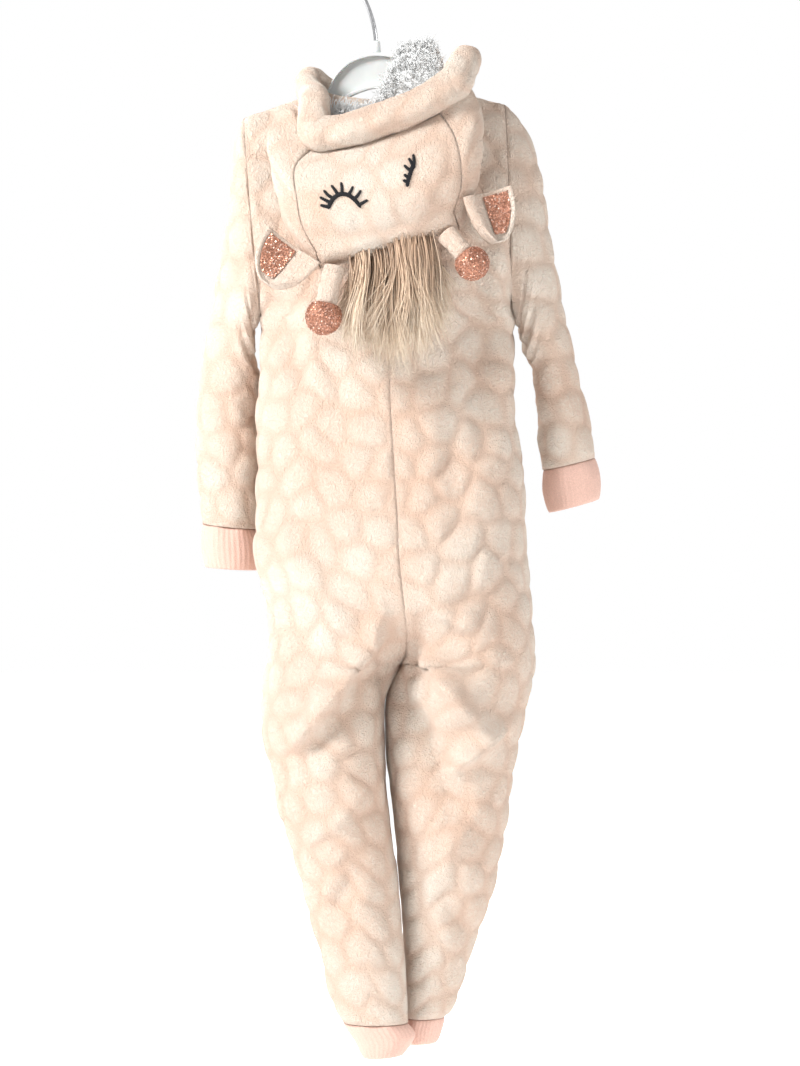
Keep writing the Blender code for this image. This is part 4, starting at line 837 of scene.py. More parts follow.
def cuffs(finish):
    """Ribbed cuffs, gathered on to the sleeves and legs."""
    for name, rings in CUFFS.items():
        columns, rows = CUFF_GRID
        share = np.linspace(0, 1, rows + 1)
        grid, middle = ring_points(rings, share, columns)
        out = unit(grid - middle[:, None])
        turn = np.arange(columns) / columns
        rib = CUFF_RIB_HIGH * np.abs(np.sin(CUFF_RIBS * math.pi * turn))[None] * np.ones((rows + 1, 1))
        gather = 0.8 * np.sin(2 * math.pi * (7 * turn + 0.1))[None] * (1 - share[:, None]) ** 2
        round_end = -1.3 * (np.abs(2 * share - 1) ** 6)[:, None]
        outer = grid + out * (rib + gather + round_end + 0.9 + waves(grid, 40, 3) * 0.5)[..., None]
        inside = thinned(grid - out * CUFF_WALL, closed=True)
        piece = shell(name + "_rib", outer, inside, closed=True)
        dress(piece, finish, "rib", name)
        width = float(np.linalg.norm(np.diff(grid[0], axis=0), axis=1).sum()) + 10
        held = "sleeve_" if name.startswith("wrist") else "back_"
        cut(width, CUFF_LENGTH, area_of(grid, closed=True) * 1.05,
            [held + name.split("_")[-1] + "_plush"])


def hood_place(share, degrees, shrink=0.0):
    """Points of the hood's section at angles from its left end, over the outside."""
    share, degrees, shrink = np.broadcast_arrays(share, degrees, shrink)
    row = table_at(HOOD, share)
    half = stack((row.left_x - row.right_x) / 2, 0.0, (row.left_z - row.right_z) / 2)
    middle = stack((row.left_x + row.right_x) / 2, (row.inside + row.outside) / 2,
                   (row.left_z + row.right_z) / 2)
    deep = (row.outside - row.inside) / 2
    turn = np.radians(degrees)
    across = np.sign(np.cos(turn)) * np.abs(np.cos(turn)) ** (2 / HOOD_ROUND)
    out = np.sign(np.sin(turn)) * np.abs(np.sin(turn)) ** (2 / HOOD_ROUND)
    scale = across * (1 - shrink / np.linalg.norm(half, axis=-1))
    slant = np.where(out > 0, -row.drop * out * (1 + HOOD_LEAN * across), -row.rise * out)
    return middle + half * scale[..., None] + stack(0.0, (deep - shrink) * out, slant)


def hood_seam(share):
    """Angle of the panel seam on the section, at shares of the way down."""
    return HOOD_SEAM[0] + (HOOD_SEAM[1] - HOOD_SEAM[0]) * np.asarray(share, float)


def crown_frame():
    """Middle, half width and half depth of the hood's last row, and the way that its crown points."""
    last = HOOD[-1]
    half = np.array(((last.left_x - last.right_x) / 2, 0, (last.left_z - last.right_z) / 2))
    middle = np.array(((last.left_x + last.right_x) / 2, (last.inside + last.outside) / 2,
                       (last.left_z + last.right_z) / 2))
    way = -unit(np.array((-half[2], 0, half[0])))
    return middle, half, (last.outside - last.inside) / 2, way


def hood_centre_grid(columns, rows, turns):
    """Panel from the forehead over the crown and up to the back of the neck."""
    middle, _, _, way = crown_frame()
    across = np.linspace(0, 1, columns + 1)[None]
    share = np.linspace(0, 1, rows + 1)[:, None]
    first = hood_seam(share)
    angles = first + (180 - 2 * first) * across
    outside = hood_place(share, angles)
    start = outside[-1]
    arc = (np.arange(1, turns) / turns)[:, None, None] * math.pi
    crown = start[None] + way * HOOD_CROWN_DROP * np.sin(arc)
    crown[..., 1] = middle[1] + (start[:, 1] - middle[1])[None] * np.cos(arc[..., 0])
    inside = hood_place(share, -angles)[::-1]
    return np.concatenate([outside, crown, inside])


def hood_side_grid(columns, rows, corner, left):
    """Side of the hood, with the corner that it makes at the crown."""
    middle, _, _, way = crown_frame()
    across = np.linspace(0, 1, columns + 1)[None]
    share = np.linspace(0, 1, rows + 1)[:, None]
    angles = hood_seam(share) * (1 - 2 * across)
    grid = hood_place(share, angles if left else 180 - angles)
    last = grid[-1]
    reach = last[0, 1] - middle[1]
    turn = (np.arange(1, corner + 1) / corner)[:, None, None] * math.pi / 2
    arc = np.arccos(np.clip((last[:, 1] - middle[1]) / reach, -1, 1))
    flat = np.stack([np.full(len(last), last[0, 0]), last[:, 1], np.full(len(last), last[0, 2])], -1)
    end = (flat[None] + (last - flat)[None] * np.cos(turn)
           + way * HOOD_CROWN_DROP * np.sin(arc)[None, :, None] * np.sin(turn))
    return np.concatenate([grid, end])


def side_lift(shape, left):
    """How far the upper edge of a side panel stands up, where it leans on the band."""
    row = np.arange(shape[0])[:, None] / HOOD_ROWS
    degrees = HOOD_SIDE_ANGLE * (1 - 2 * np.arange(shape[1]) / (shape[1] - 1))[None]
    near = np.clip(1 - row / 0.3, 0, 1) ** 2
    outside = np.clip(degrees / HOOD_SIDE_ANGLE, 0, 1)
    rise = np.sin(math.pi * outside**0.8) * (20.0 if left else 12.0)
    peak = 7.0 * np.exp(-((degrees / 14) ** 2))
    return stack((-7.0 if left else 5.0) * np.sin(math.pi * outside) * near, 0.0, (rise - peak) * near)


def hood_panels(finish, settings):
    """The hood's centre and its two sides, sewn with a seam between them."""
    size, high = settings.cobble_size / MM, settings.cobble_height / MM
    centre = np.array((-8, 100, -210.0))
    panels = {
        "hood_centre": (hood_centre_grid(68, HOOD_ROWS, 16), 190, 330),
        "hood_side_left": (hood_side_grid(36, HOOD_ROWS, 8, True), 70, 165),
        "hood_side_right": (hood_side_grid(36, HOOD_ROWS, 8, False), 70, 165),
    }
    made = {}
    for name, (grid, width, length) in panels.items():
        if name != "hood_centre":
            grid = grid + side_lift(grid.shape, name == "hood_side_left")
        normals = grid_normals(grid)
        k, m = HOOD_ROWS // 2, grid.shape[1] // 2
        if (grid[k, m] - centre) @ normals[k, m] < 0:
            normals = -normals
        u, v = widths_and_depths(grid)
        total, down = u[:, -1:], v[-1:]
        near = np.minimum(u, total - u)
        ends = np.minimum(v, down - v) if name == "hood_centre" else v
        fade = smooth(0, SEAM_FADE, np.minimum(near, ends))
        below = np.arange(len(grid)) / len(grid)
        corner = 1.0 if name == "hood_centre" else 1 - smooth(0.86, 0.97, below)[:, None]
        height, relief = cobble_height(u + 30, v + 12, size * 1.12, 3 + len(name), high * 0.62)
        height = np.maximum(height, 0) * fade * corner
        puff = waves(grid, 70, len(name)) * 0.9 * fade * corner
        tuck = -0.8 * np.exp(-(near / 3.2) ** 2)
        outer = grid + normals * (height + puff + np.where(ends > 1, tuck, 0))[..., None]
        gap = SEAM_GAP * 0.5
        outer = respaced(outer, grid.shape[1] - 1, start=gap, end=gap)
        inner = respaced(grid - normals * HOOD_WALL, grid.shape[1] - 1, start=2.2, end=2.2)
        if name != "hood_centre":
            outer[-1] += unit(outer[-2] - outer[-1]) * gap
            inner[-1] += unit(inner[-2] - inner[-1]) * 2.0
        # Along the seams the relief falls to 0.4, so the plush paints groove shade there
        piece = shell(name + "_plush", outer, thinned(inner), relief=relief * fade + (1 - fade) * 0.4)
        dress(piece, finish, "plush", name)
        cut(width + 30, length + 30, area_of(grid) * SEWN_IN, ["back_left_plush"])
        made[name] = piece
    return made


def lining_place(share, degrees, shrink):
    """Points of the lining, whose wall next to the neck stands up on the wearer's right."""
    share, degrees, shrink = np.broadcast_arrays(share, degrees, shrink)
    points = hood_place(share, degrees, shrink)
    across, inward = np.cos(np.radians(degrees)), -np.sin(np.radians(degrees))
    t = smooth(LINING_RISE_FULL, LINING_RISE_FROM, across)
    near = np.clip(1 - (share - LINING_TOP) / (LINING_END - LINING_TOP), 0, 1)
    lift = LINING_RISE * (1 - t) * np.clip(inward / 0.6, 0, 1) * near**2.5
    points[..., 1] -= LINING_RISE_LEAN * lift
    points[..., 2] += lift
    return points


def curls(grid, size, height, seed):
    """Lift of a curly pile over a grid of points: rounded tufts with a twist."""
    u, v = widths_and_depths(grid)
    edge, number = cobbles(u, v, size, seed)
    tuft = np.sqrt(np.clip(edge / (size * 0.45), 0, 1))
    swirl = np.sin(edge * 9 / size + number * 9 + waves(grid, size * 1.2, seed) * 4)
    return height * (tuft * 0.8 + 0.2 * swirl * tuft + 0.25 * waves(grid, size * 3, seed + 1))


def hood_lining(finish):
    """Curly sherpa bag inside the hood, closed at the crown."""
    columns, rows = LINING_GRID
    share = np.linspace(LINING_TOP, LINING_END, rows + 1)[:, None]
    degrees = (360 * np.arange(columns) / columns)[None]
    shrink = PLUSH + LINING_GAP + LINING_SLANT * (1 - share) ** 2
    outer = lining_place(share, degrees, shrink)
    inner = lining_place(share, degrees, shrink + LINING)
    normals = grid_normals(inner, closed=True)
    middle = inner.mean(axis=1, keepdims=True)
    if ((inner - middle) * normals).sum(-1).mean() < 0:
        normals = -normals
    pile = curls(inner, *LINING_CURL, 4)
    inner = inner - normals * pile[..., None]
    inner[-1] -= crown_frame()[3] * LINING
    piece = shell("hood_lining_sherpa", inner[:, ::-1], thinned(outer, closed=True)[:, ::-1],
                  closed=True, cap=True)
    dress(piece, finish, "sherpa", "hood_lining")
    cut(400, 300, area_of(outer, closed=True) * 1.05, ["hood_centre_plush"])
    sherpa_tufts(finish)


def sherpa_tufts(finish):
    """Curled wisps that stand up along the lining's edge and over its wall."""
    rng = np.random.default_rng(21)
    points, faces = [], []
    for _ in range(SHERPA_WISPS):
        degrees = rng.uniform(165, 330) if rng.uniform() < 0.75 else rng.uniform(0, 360)
        edge = rng.uniform() < 0.36
        share = LINING_TOP + (0.004 if edge else 0.5 * rng.uniform() ** 1.5)
        deep = PLUSH + LINING_GAP + LINING_SLANT * (1 - share) ** 2 + LINING
        root = lining_place(share, degrees, deep)
        below = lining_place(share + 0.03, degrees, deep)
        middle = lining_place(share, degrees, 60.0)
        up = unit(root - below)
        inward = unit(middle - root)
        way = unit(up * (1.5 if edge else 0.5) + inward * (0.4 if edge else 1.0) + rng.normal(size=3) * 0.6)
        length = rng.uniform(5.5, 13.0) * (1 + 0.8 * smooth(-10, 40, root[0]))
        curl_wisp(points, faces, root, way, length, rng.uniform(0.55, 0.95), rng)
    piece = strands("sherpa_wisps", points, faces)
    dress(piece, finish, "sherpa")


def curl_wisp(points, faces, root, way, length, thick, rng):
    """One curled wisp of three sides, as a small coil that narrows to its tip."""
    side = unit(np.cross(way, rng.normal(size=3)))
    other = np.cross(way, side)
    turns, steps = rng.uniform(0.7, 1.4), 7
    first = len(points)
    phase = rng.uniform(0, 2 * math.pi)
    for i in range(steps + 1):
        t = i / steps
        swing = phase + turns * 2 * math.pi * t
        curl = (side * math.cos(swing) + other * math.sin(swing)) * 2.2 * math.sqrt(t)
        centre = root + way * length * t + curl
        wide = thick * (1 - 0.75 * t)
        for k in range(3):
            a = 2 * math.pi * k / 3
            points.append(centre + (side * math.cos(a) + other * math.sin(a)) * wide)
    for i in range(steps):
        for k in range(3):
            a, b = first + 3 * i + k, first + 3 * i + (k + 1) % 3
            faces.append((a, b, b + 3, a + 3))
    faces.append((first, first + 2, first + 1))
    end = first + 3 * steps
    faces.append((end, end + 1, end + 2))


def strands(name, points, faces):
    """Mesh object of many small closed wisps, from points in millimetres."""
    mesh = bpy.data.meshes.new(name)
    mesh.from_pydata([tuple(p * MM) for p in points], [], faces)
    mesh.validate()
    mesh.shade_smooth()
    return put(name, mesh)


def band_route():
    """Points of the band's middle line and its radius: round the neck and over the hood's mouth."""
    start, end, count = BAND_ARC
    turn = np.linspace(start, end, count)
    edge = hood_place(0.0, turn, PLUSH / 2)
    way = unit(hood_place(0.0, turn + 2, PLUSH / 2) - hood_place(0.0, turn - 2, PLUSH / 2))
    up = np.array((0, 0, 1.0))
    place = edge + unit(up - way * (way @ up)[:, None]) * (BAND_RADIUS + BAND_GAP)
    behind = [BandPoint(*p, BAND_RADIUS) for p in place]
    return BAND_LEFT + behind + BAND_RIGHT


def hood_band(finish):
    """Rolled plush band round the hood's opening."""
    route = band_route()
    rows, columns = 300, 40
    line = table_at(route, np.linspace(0, 1, rows + 1))
    path = stack(line.x, line.y, line.z)
    way = unit(np.gradient(path, axis=0))
    first = unit(np.cross(np.array((0, 0, 1.0)), way))
    second = np.cross(way, first)
    turn = 2 * math.pi * np.arange(columns) / columns
    radial = first[:, None] * np.cos(turn)[None, :, None] + second[:, None] * np.sin(turn)[None, :, None]
    grid = path[:, None] + radial * line.radius[:, None, None]
    u, v = widths_and_depths(grid)
    height, relief = cobble_height(u + 10, v, PEBBLE * 1.15, 12, 1.6)
    ends = np.minimum(np.arange(rows + 1), rows - np.arange(rows + 1))
    round_end = -(1 - np.sqrt(np.clip(ends / 5, 0, 1))) * 6
    lumps = waves(grid, 46, 9) * 1.1 + waves(grid, 18, 10) * 0.35
    outer = grid + radial * (height * 0.6 + lumps + 1.0 + round_end[:, None])[..., None]
    piece = rounded_grid("hood_band_plush", outer, relief)
    dress(piece, finish, "plush", "hood_band")


def rounded_grid(name, grid, relief=None):
    """Closed skin of a grid in millimetres whose rows are rings, with its two ends filled."""
    made = bmesh.new()
    kept = made.verts.layers.float.new("relief")
    rings = [[made.verts.new(p) for p in row] for row in grid * MM]
    if relief is None:
        relief = np.ones(grid.shape[:2])
    for ring, values in zip(rings, relief):
        for vertex, value in zip(ring, values):
            vertex[kept] = float(value)
    count = grid.shape[1]
    for a, b in zip(rings, rings[1:]):
        for c in range(count):
            made.faces.new((a[c], a[(c + 1) % count], b[(c + 1) % count], b[c]))
    for ring in (rings[0], rings[-1]):
        made.faces.new(ring)
    bmesh.ops.recalc_face_normals(made, faces=made.faces)
    mesh = bpy.data.meshes.new(name)
    made.to_mesh(mesh)
    made.free()
    mesh.shade_smooth()
    return put(name, mesh)


def disc(points, faces, tones, centre, facing, radius, tone):
    """One small closed disc of six sides, with a tone for each of its points."""
    side = unit(np.cross(facing, np.array((0.3, 0.5, 0.81))))
    other = np.cross(facing, side)
    first = len(points)
    for lift in (-0.12, 0.12):
        for k in range(6):
            a = math.pi * k / 3
            points.append(centre + (side * math.cos(a) + other * math.sin(a)) * radius + facing * lift)
            tones.append(tone)
    faces.append(tuple(first + 5 - k for k in range(6)))
    faces.append(tuple(first + 6 + k for k in range(6)))
    for k in range(6):
        m = (k + 1) % 6
        faces.append((first + k, first + m, first + 6 + m, first + 6 + k))


def toned(name, points, faces, tones, smooth_faces=True):
    """Mesh object of many small closed shapes, from points in millimetres with a tone each."""
    mesh = bpy.data.meshes.new(name)
    mesh.from_pydata([tuple(p * MM) for p in points], [], faces)
    kept = mesh.attributes.new("tone", "FLOAT", "POINT")
    kept.data.foreach_set("value", np.asarray(tones, np.float32))
    if smooth_faces:
        mesh.shade_smooth()
    return put(name, mesh)


def ear_frame(ear):
    """Root, length, and the ways along, across and out of an ear."""
    root, tip = np.array(ear.root, float), np.array(ear.tip, float)
    length = np.linalg.norm(tip - root)
    way = unit(tip - root)
    across = unit(np.cross(unit(np.array(ear.face)), way))
    return root, length, way, across, unit(np.cross(way, across))


def ear_grid(ear, scale, lift, rows, columns):
    """Points of a cupped leaf, and their places across it from -1 to 1 and along it."""
    root, length, way, across, face = ear_frame(ear)
    t = np.sin(np.linspace(0, math.pi / 2, rows + 1))[:, None]
    side = np.linspace(-1, 1, columns + 1)[None]
    half = ear.width / 2 * scale * np.sqrt(np.maximum(0.0, 1 - (t * 0.97) ** 2.2))
    hollow = ear.cup * (half * side / (ear.width / 2)) ** 2
    place = root + way * (length * (t * scale + (1 - scale) * 0.4))[..., None]
    grid = place + across * (half * side)[..., None] + face * (hollow + lift)[..., None]
    return grid, np.broadcast_to(side, half.shape[:1] + side.shape[1:]), half


def ears(plush, glitter, discs):
    """Plush ears with a rolled rim, half folded over a sequined inside."""
    rng = np.random.default_rng(8)
    for ear in EARS:
        face = ear_frame(ear)[4]
        grid, side, half = ear_grid(ear, 1.0, 0.0, 40, 48)
        edge = half * (1 - np.abs(side))
        tip_edge = np.linspace(1, 0, len(grid))[:, None] * 44
        edge = np.minimum(edge, tip_edge)
        folded = 1 if ear.side == "left" else -1
        along_ear = np.linspace(0, 1, len(grid))[:, None]
        lobe = 9.5 * np.exp(-(((side * folded) - 0.62) / 0.30) ** 2) * (0.55 + 0.45 * along_ear)
        tip_lobe = 5.0 * smooth(0.72, 0.95, along_ear)
        roll = 2.2 * np.exp(-((edge - 2.6) / 2.2) ** 2) + waves(grid, 22, 5) * 0.7
        roll = roll + np.maximum(lobe, tip_lobe) * smooth(0, 6, edge)
        outer = grid + face * roll[..., None]
        back = grid - face * (EAR_WALL + 0.8 + waves(grid, 30, 6) * 0.8)[..., None]
        piece = shell("ear_%s_plush" % ear.side, outer, thinned(back))
        dress(piece, plush, "plush", "ear_" + ear.side)

        grid, side, half = ear_grid(ear, 0.8, SEAM_GAP + SEQUIN_WALL, 24, 48)
        first = 0 if folded > 0 else 20
        grid = grid[:20, first:first + 29]
        under = thinned(grid - face * SEQUIN_WALL)
        piece = shell("ear_%s_lining" % ear.side, grid, under)
        dress(piece, glitter, "rose_gold", "ear_sequins_" + ear.side)
        cut(ear.width * 0.8 + 4, 50, area_of(grid) * 1.02, ["ear_%s_plush" % ear.side])

        points, faces, tones = [], [], []
        for _ in range(EAR_SEQUINS):
            r, c = rng.uniform(0, len(grid) - 1.01), rng.uniform(0, grid.shape[1] - 1.01)
            i, j = int(r), int(c)
            place = (grid[i, j] * (1 - c + j) + grid[i, j + 1] * (c - j)) * (1 - r + i)
            place = place + (grid[i + 1, j] * (1 - c + j) + grid[i + 1, j + 1] * (c - j)) * (r - i)
            facing = unit(face + rng.normal(size=3) * 0.22)
            disc(points, faces, tones, place + face * rng.uniform(0.15, 0.5), facing,
                 rng.uniform(0.6, 0.95), rng.uniform())
        piece = toned("ear_%s_sequins" % ear.side, points, faces, tones, False)
        dress(piece, discs, "rose_gold")


def horns(plush, glitter, discs):
    """Stuffed straight stems with two creases, that end in glitter balls."""
    rng = np.random.default_rng(3)
    for horn in HORNS:
        root, tip = np.array(horn.root, float), np.array(horn.tip, float)
        way = unit(tip - root)
        first = unit(np.cross(way, np.array((0, 1.0, 0))))
        second = np.cross(way, first)
        t = np.linspace(0, 1, 41)
        turn = 2 * math.pi * np.arange(48) / 48
        radial = first * np.cos(turn)[:, None] + second * np.sin(turn)[:, None]
        radius = horn.stem * (1 - 0.1 * np.sin(math.pi * t * 0.8))
        middle = root + way * (np.linalg.norm(tip - root) * t)[:, None, None]
        grid = middle + radial[None] * radius[:, None, None]
        crease = -0.8 * np.exp(-((t - 0.45) / 0.07) ** 2) - 0.6 * np.exp(-((t - 0.75) / 0.06) ** 2)
        ends = -1.6 * (np.abs(2 * t - 1) ** 12)
        bumps = waves(grid, 16, 11) * 0.55
        grid = grid + radial[None] * ((crease + ends)[:, None] + bumps)[..., None]
        piece = rounded_grid("horn_stem_%s_plush" % horn.side, grid)
        dress(piece, plush, "plush", "horn_stem_" + horn.side)

        flat = math.sqrt(horn.ball**2 - (horn.stem * 1.1) ** 2)
        centre = tip + way * (flat + SEAM_GAP)
        open_turn = math.pi - math.asin(horn.stem * 1.1 / horn.ball)
        polar = np.linspace(0.02, open_turn, 40)[:, None]
        turn = (2 * math.pi * np.arange(64) / 64)[None]
        around = first * np.cos(turn)[..., None] + second * np.sin(turn)[..., None]
        out = way * np.cos(polar)[..., None] + around * np.sin(polar)[..., None]
        dents = waves(out * 20, 14, 2) * 0.35
        ball = centre + out * (horn.ball - 0.5 + dents)[..., None]
        piece = rounded_grid("horn_ball_%s_cloth" % horn.side, ball)
        dress(piece, glitter, "rose_gold", "horn_ball_" + horn.side)

        points, faces, tones = [], [], []
        for _ in range(BALL_SEQUINS):
            facing = unit(rng.normal(size=3))
            if facing @ way < math.cos(open_turn) + 0.03:
                continue
            place = centre + facing * (horn.ball - 0.3 + rng.uniform(0, 0.4))
            leaning = unit(facing + rng.normal(size=3) * 0.3)
            disc(points, faces, tones, place, leaning, rng.uniform(0.45, 0.85), rng.uniform())
        piece = toned("horn_ball_%s_glitter" % horn.side, points, faces, tones, False)
        dress(piece, discs, "rose_gold")


def crown_point(across, degrees, out):
    """Points at places across the crown and round its turn, moved out from it, and the way out."""
    middle, half, deep, way = crown_frame()
    level = (1 - abs(across) ** HOOD_ROUND) ** (1 / HOOD_ROUND)
    turn = math.radians(degrees)
    y = np.array((0, 1.0, 0))
    facing = unit(y * math.cos(turn) / deep + way * math.sin(turn) / HOOD_CROWN_DROP)
    place = middle + half * across + y * deep * level * math.cos(turn)
    return place + way * HOOD_CROWN_DROP * math.sin(turn) + facing * out, facing


Lock = namedtuple("Lock", "share degrees root facing length lean turn tone")


def mane(finish):
    """Long fur that falls from the crown in locks."""
    rng = np.random.default_rng(14)
    points, faces, tones = [], [], []
    first, last = MANE_ACROSS
    low, high = MANE_ROUND
    lengths = np.array(MANE_LENGTHS)
    locks = []
    for _ in range(MANE_LOCKS):
        share = rng.uniform(-0.05, 1.03)
        degrees = rng.uniform(low - 8, high)
        root, facing = crown_point(first + (last - first) * share, degrees, 0.6)
        length = np.interp(share, lengths[:, 0], lengths[:, 1]) * rng.uniform(0.72, 1.12)
        lean = np.array((rng.normal() * 8 + 8 * (1 - share) - 12 * share**2, rng.uniform(0, 9), 0))
        turn, tone = rng.uniform(0, 2 * math.pi), rng.uniform()
        locks.append(Lock(share, degrees, root, facing, length, lean, turn, tone))
    for _ in range(MANE_HAIRS):
        lock = locks[rng.integers(len(locks))]
        share = lock.share + rng.normal() * 0.05
        degrees = lock.degrees + rng.normal() * 9
        root, facing = crown_point(first + (last - first) * min(max(share, -0.05), 1.05), degrees, 0.3)
        length = lock.length * rng.uniform(0.7, 1.03)
        stray = rng.normal(size=3) * np.array((5.5, 3.0, 0))
        strand(points, faces, tones, root, facing, length, lock, stray, rng)
    piece = toned("mane_fur", points, faces, tones)
    dress(piece, finish, "mane", "mane")


def strand(points, faces, tones, root, facing, length, lock, stray, rng):
    """One hair of three sides, which leaves the crown, falls and gathers towards its lock's tip."""
    steps = 9
    first = len(points)
    wide = rng.uniform(0.32, 0.58)
    shade = rng.uniform(-0.12, 0.12)
    out = facing * rng.uniform(5, 15)
    down = np.array((0, 0, -1.0))
    for i in range(steps + 1):
        t = i / steps
        falling = t**1.25
        own = root + out * (1 - math.exp(-4.5 * t)) + down * length * falling
        shared = lock.root + lock.facing * 10 * (1 - math.exp(-4.5 * t)) + down * length * falling
        gather = 0.5 * t**0.9
        swing = math.sin(lock.turn + t * 4.4) * 6.0 * t
        place = own + (shared - own) * gather + lock.lean * t * t + stray * t**1.4
        place = place + np.array((swing, swing * 0.3, 0))
        narrow = wide * (1 - 0.82 * t**2.2)
        for k in range(3):
            a = 2 * math.pi * k / 3 + lock.turn
            points.append(place + np.array((math.cos(a) * narrow, math.sin(a) * narrow, 0)))
            tones.append(min(max(t * 0.85 + shade + (lock.tone - 0.5) * 0.35, 0.0), 1.0))
    for i in range(steps):
        for k in range(3):
            a, b = first + 3 * i + k, first + 3 * i + (k + 1) % 3
            faces.append((a, a + 3, b + 3, b))
    faces.append((first, first + 1, first + 2))
    end = first + 3 * steps
    faces.append((end, end + 2, end + 1))


def photo_ray(px, py):
    """Start and way of the line of sight through a pixel of the photograph, in millimetres."""
    eye, aim = camera_places()
    x = (PHOTO_ZERO[0] - px) * PHOTO_SCALE
    z = PHOTO_ZERO[1] - (py - PHOTO_ZERO[2]) * PHOTO_SCALE
    away = unit(aim - eye)
    up = unit(np.cross(np.array((-1.0, 0, 0)), away))
    on_plane = np.array((x, 0.0, aim[2])) + up * (z - aim[2])
    return eye, unit(on_plane - eye)


def camera_places():
    """Places of the camera and of the point that it looks at, in millimetres."""
    x = (PHOTO_ZERO[0] - PHOTO[0] / 2) * PHOTO_SCALE
    z = PHOTO_ZERO[1] - (PHOTO[1] / 2 - PHOTO_ZERO[2]) * PHOTO_SCALE
    turn = math.radians(CAMERA_RISE)
    aim = np.array((x, 0.0, z))
    return aim + np.array((0, math.cos(turn), math.sin(turn))) * CAMERA_AWAY, aim


def lashes(hood, finish):
    """Closed eyes in satin stitch: a lid and its lashes, laid on the hood."""
    trees = []
    for piece in hood.values():
        vertices = [v.co / MM for v in piece.data.vertices]
        trees.append(BVHTree.FromPolygons(vertices, [tuple(f.vertices) for f in piece.data.polygons]))

    def lay(px, py):
        """Place and normal on the hood behind a pixel of the photograph."""
        eye, way = photo_ray(px, py)
        best = None
        for tree in trees:
            place, normal, _, distance = tree.ray_cast(Vector(eye), Vector(way))
            if place is not None and (best is None or distance < best[0]):
                best = (distance, np.array(place), np.array(normal))
        if best is None:
            raise RuntimeError("no hood behind pixel %s, %s" % (px, py))
        return best[1], best[2]

    for side, (lid, hairs) in LASHES.items():
        points, faces = [], []
        lines = [(lid, 2.2, 1.9)] + [(hair, 1.75, 1.2) for hair in hairs]
        for pixels, thick, tip in lines:
            pixels = np.array(pixels, float)
            spots = np.linspace(0, len(pixels) - 1, 6 * (len(pixels) - 1) + 1)
            smoothed = curve_through(pixels, spots)
            laid = [lay(*p) for p in smoothed]
            normal = unit(sum(n for _, n in laid))
            line = np.array([p for p, _ in laid])
            way = unit(np.gradient(line, axis=0))
            across = unit(np.cross(way, normal))
            share = np.linspace(0, 1, len(line))
            radius = thick + (tip - thick) * share
            radius = radius * np.sqrt(np.clip(1 - np.abs(2 * share - 1) ** 10, 0.02, 1))
            radius = radius * (1 + 0.07 * np.cos(np.arange(len(line)) * math.pi))
            first = len(points)
            for p, a, r in zip(line, across, radius):
                for k in range(10):
                    turn = 2 * math.pi * k / 10
                    points.append(p + a * math.cos(turn) * r + normal * (0.35 + math.sin(turn) * 0.85))
            for i in range(len(line) - 1):
                for k in range(10):
                    a, b = first + 10 * i + k, first + 10 * i + (k + 1) % 10
                    faces.append((a, b, b + 10, a + 10))
            faces.append(tuple(first + 9 - k for k in range(10)))
            end = first + 10 * (len(line) - 1)
            faces.append(tuple(end + k for k in range(10)))
        piece = strands("eyelashes_" + side, points, faces)
        piece.data.materials.append(finish)
        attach(piece, CLOTH)


def curve_through(points, spots):
    """Smooth curve through points at spots counted in points."""
    Knot = namedtuple("Knot", "at value")
    return np.stack([along([Knot(i, p[k]) for i, p in enumerate(points)], "at", "value", spots)
                     for k in range(points.shape[1])], axis=-1)


def only(piece):
    """Select one object alone and make it active."""
    bpy.ops.object.select_all(action="DESELECT")
    piece.select_set(True)
    bpy.context.view_layer.objects.active = piece


def rounded_edges(piece, width, segments, degrees=35):
    """Round the edges of a hard piece that are sharper than that angle, and apply it."""
    only(piece)
    change = piece.modifiers.new("round edges", "BEVEL")
    change.width = width * MM
    change.segments = segments
    change.limit_method = "ANGLE"
    change.angle_limit = math.radians(degrees)
    bpy.ops.object.modifier_apply(modifier=change.name)
    bpy.ops.object.shade_smooth_by_angle(angle=math.radians(40))


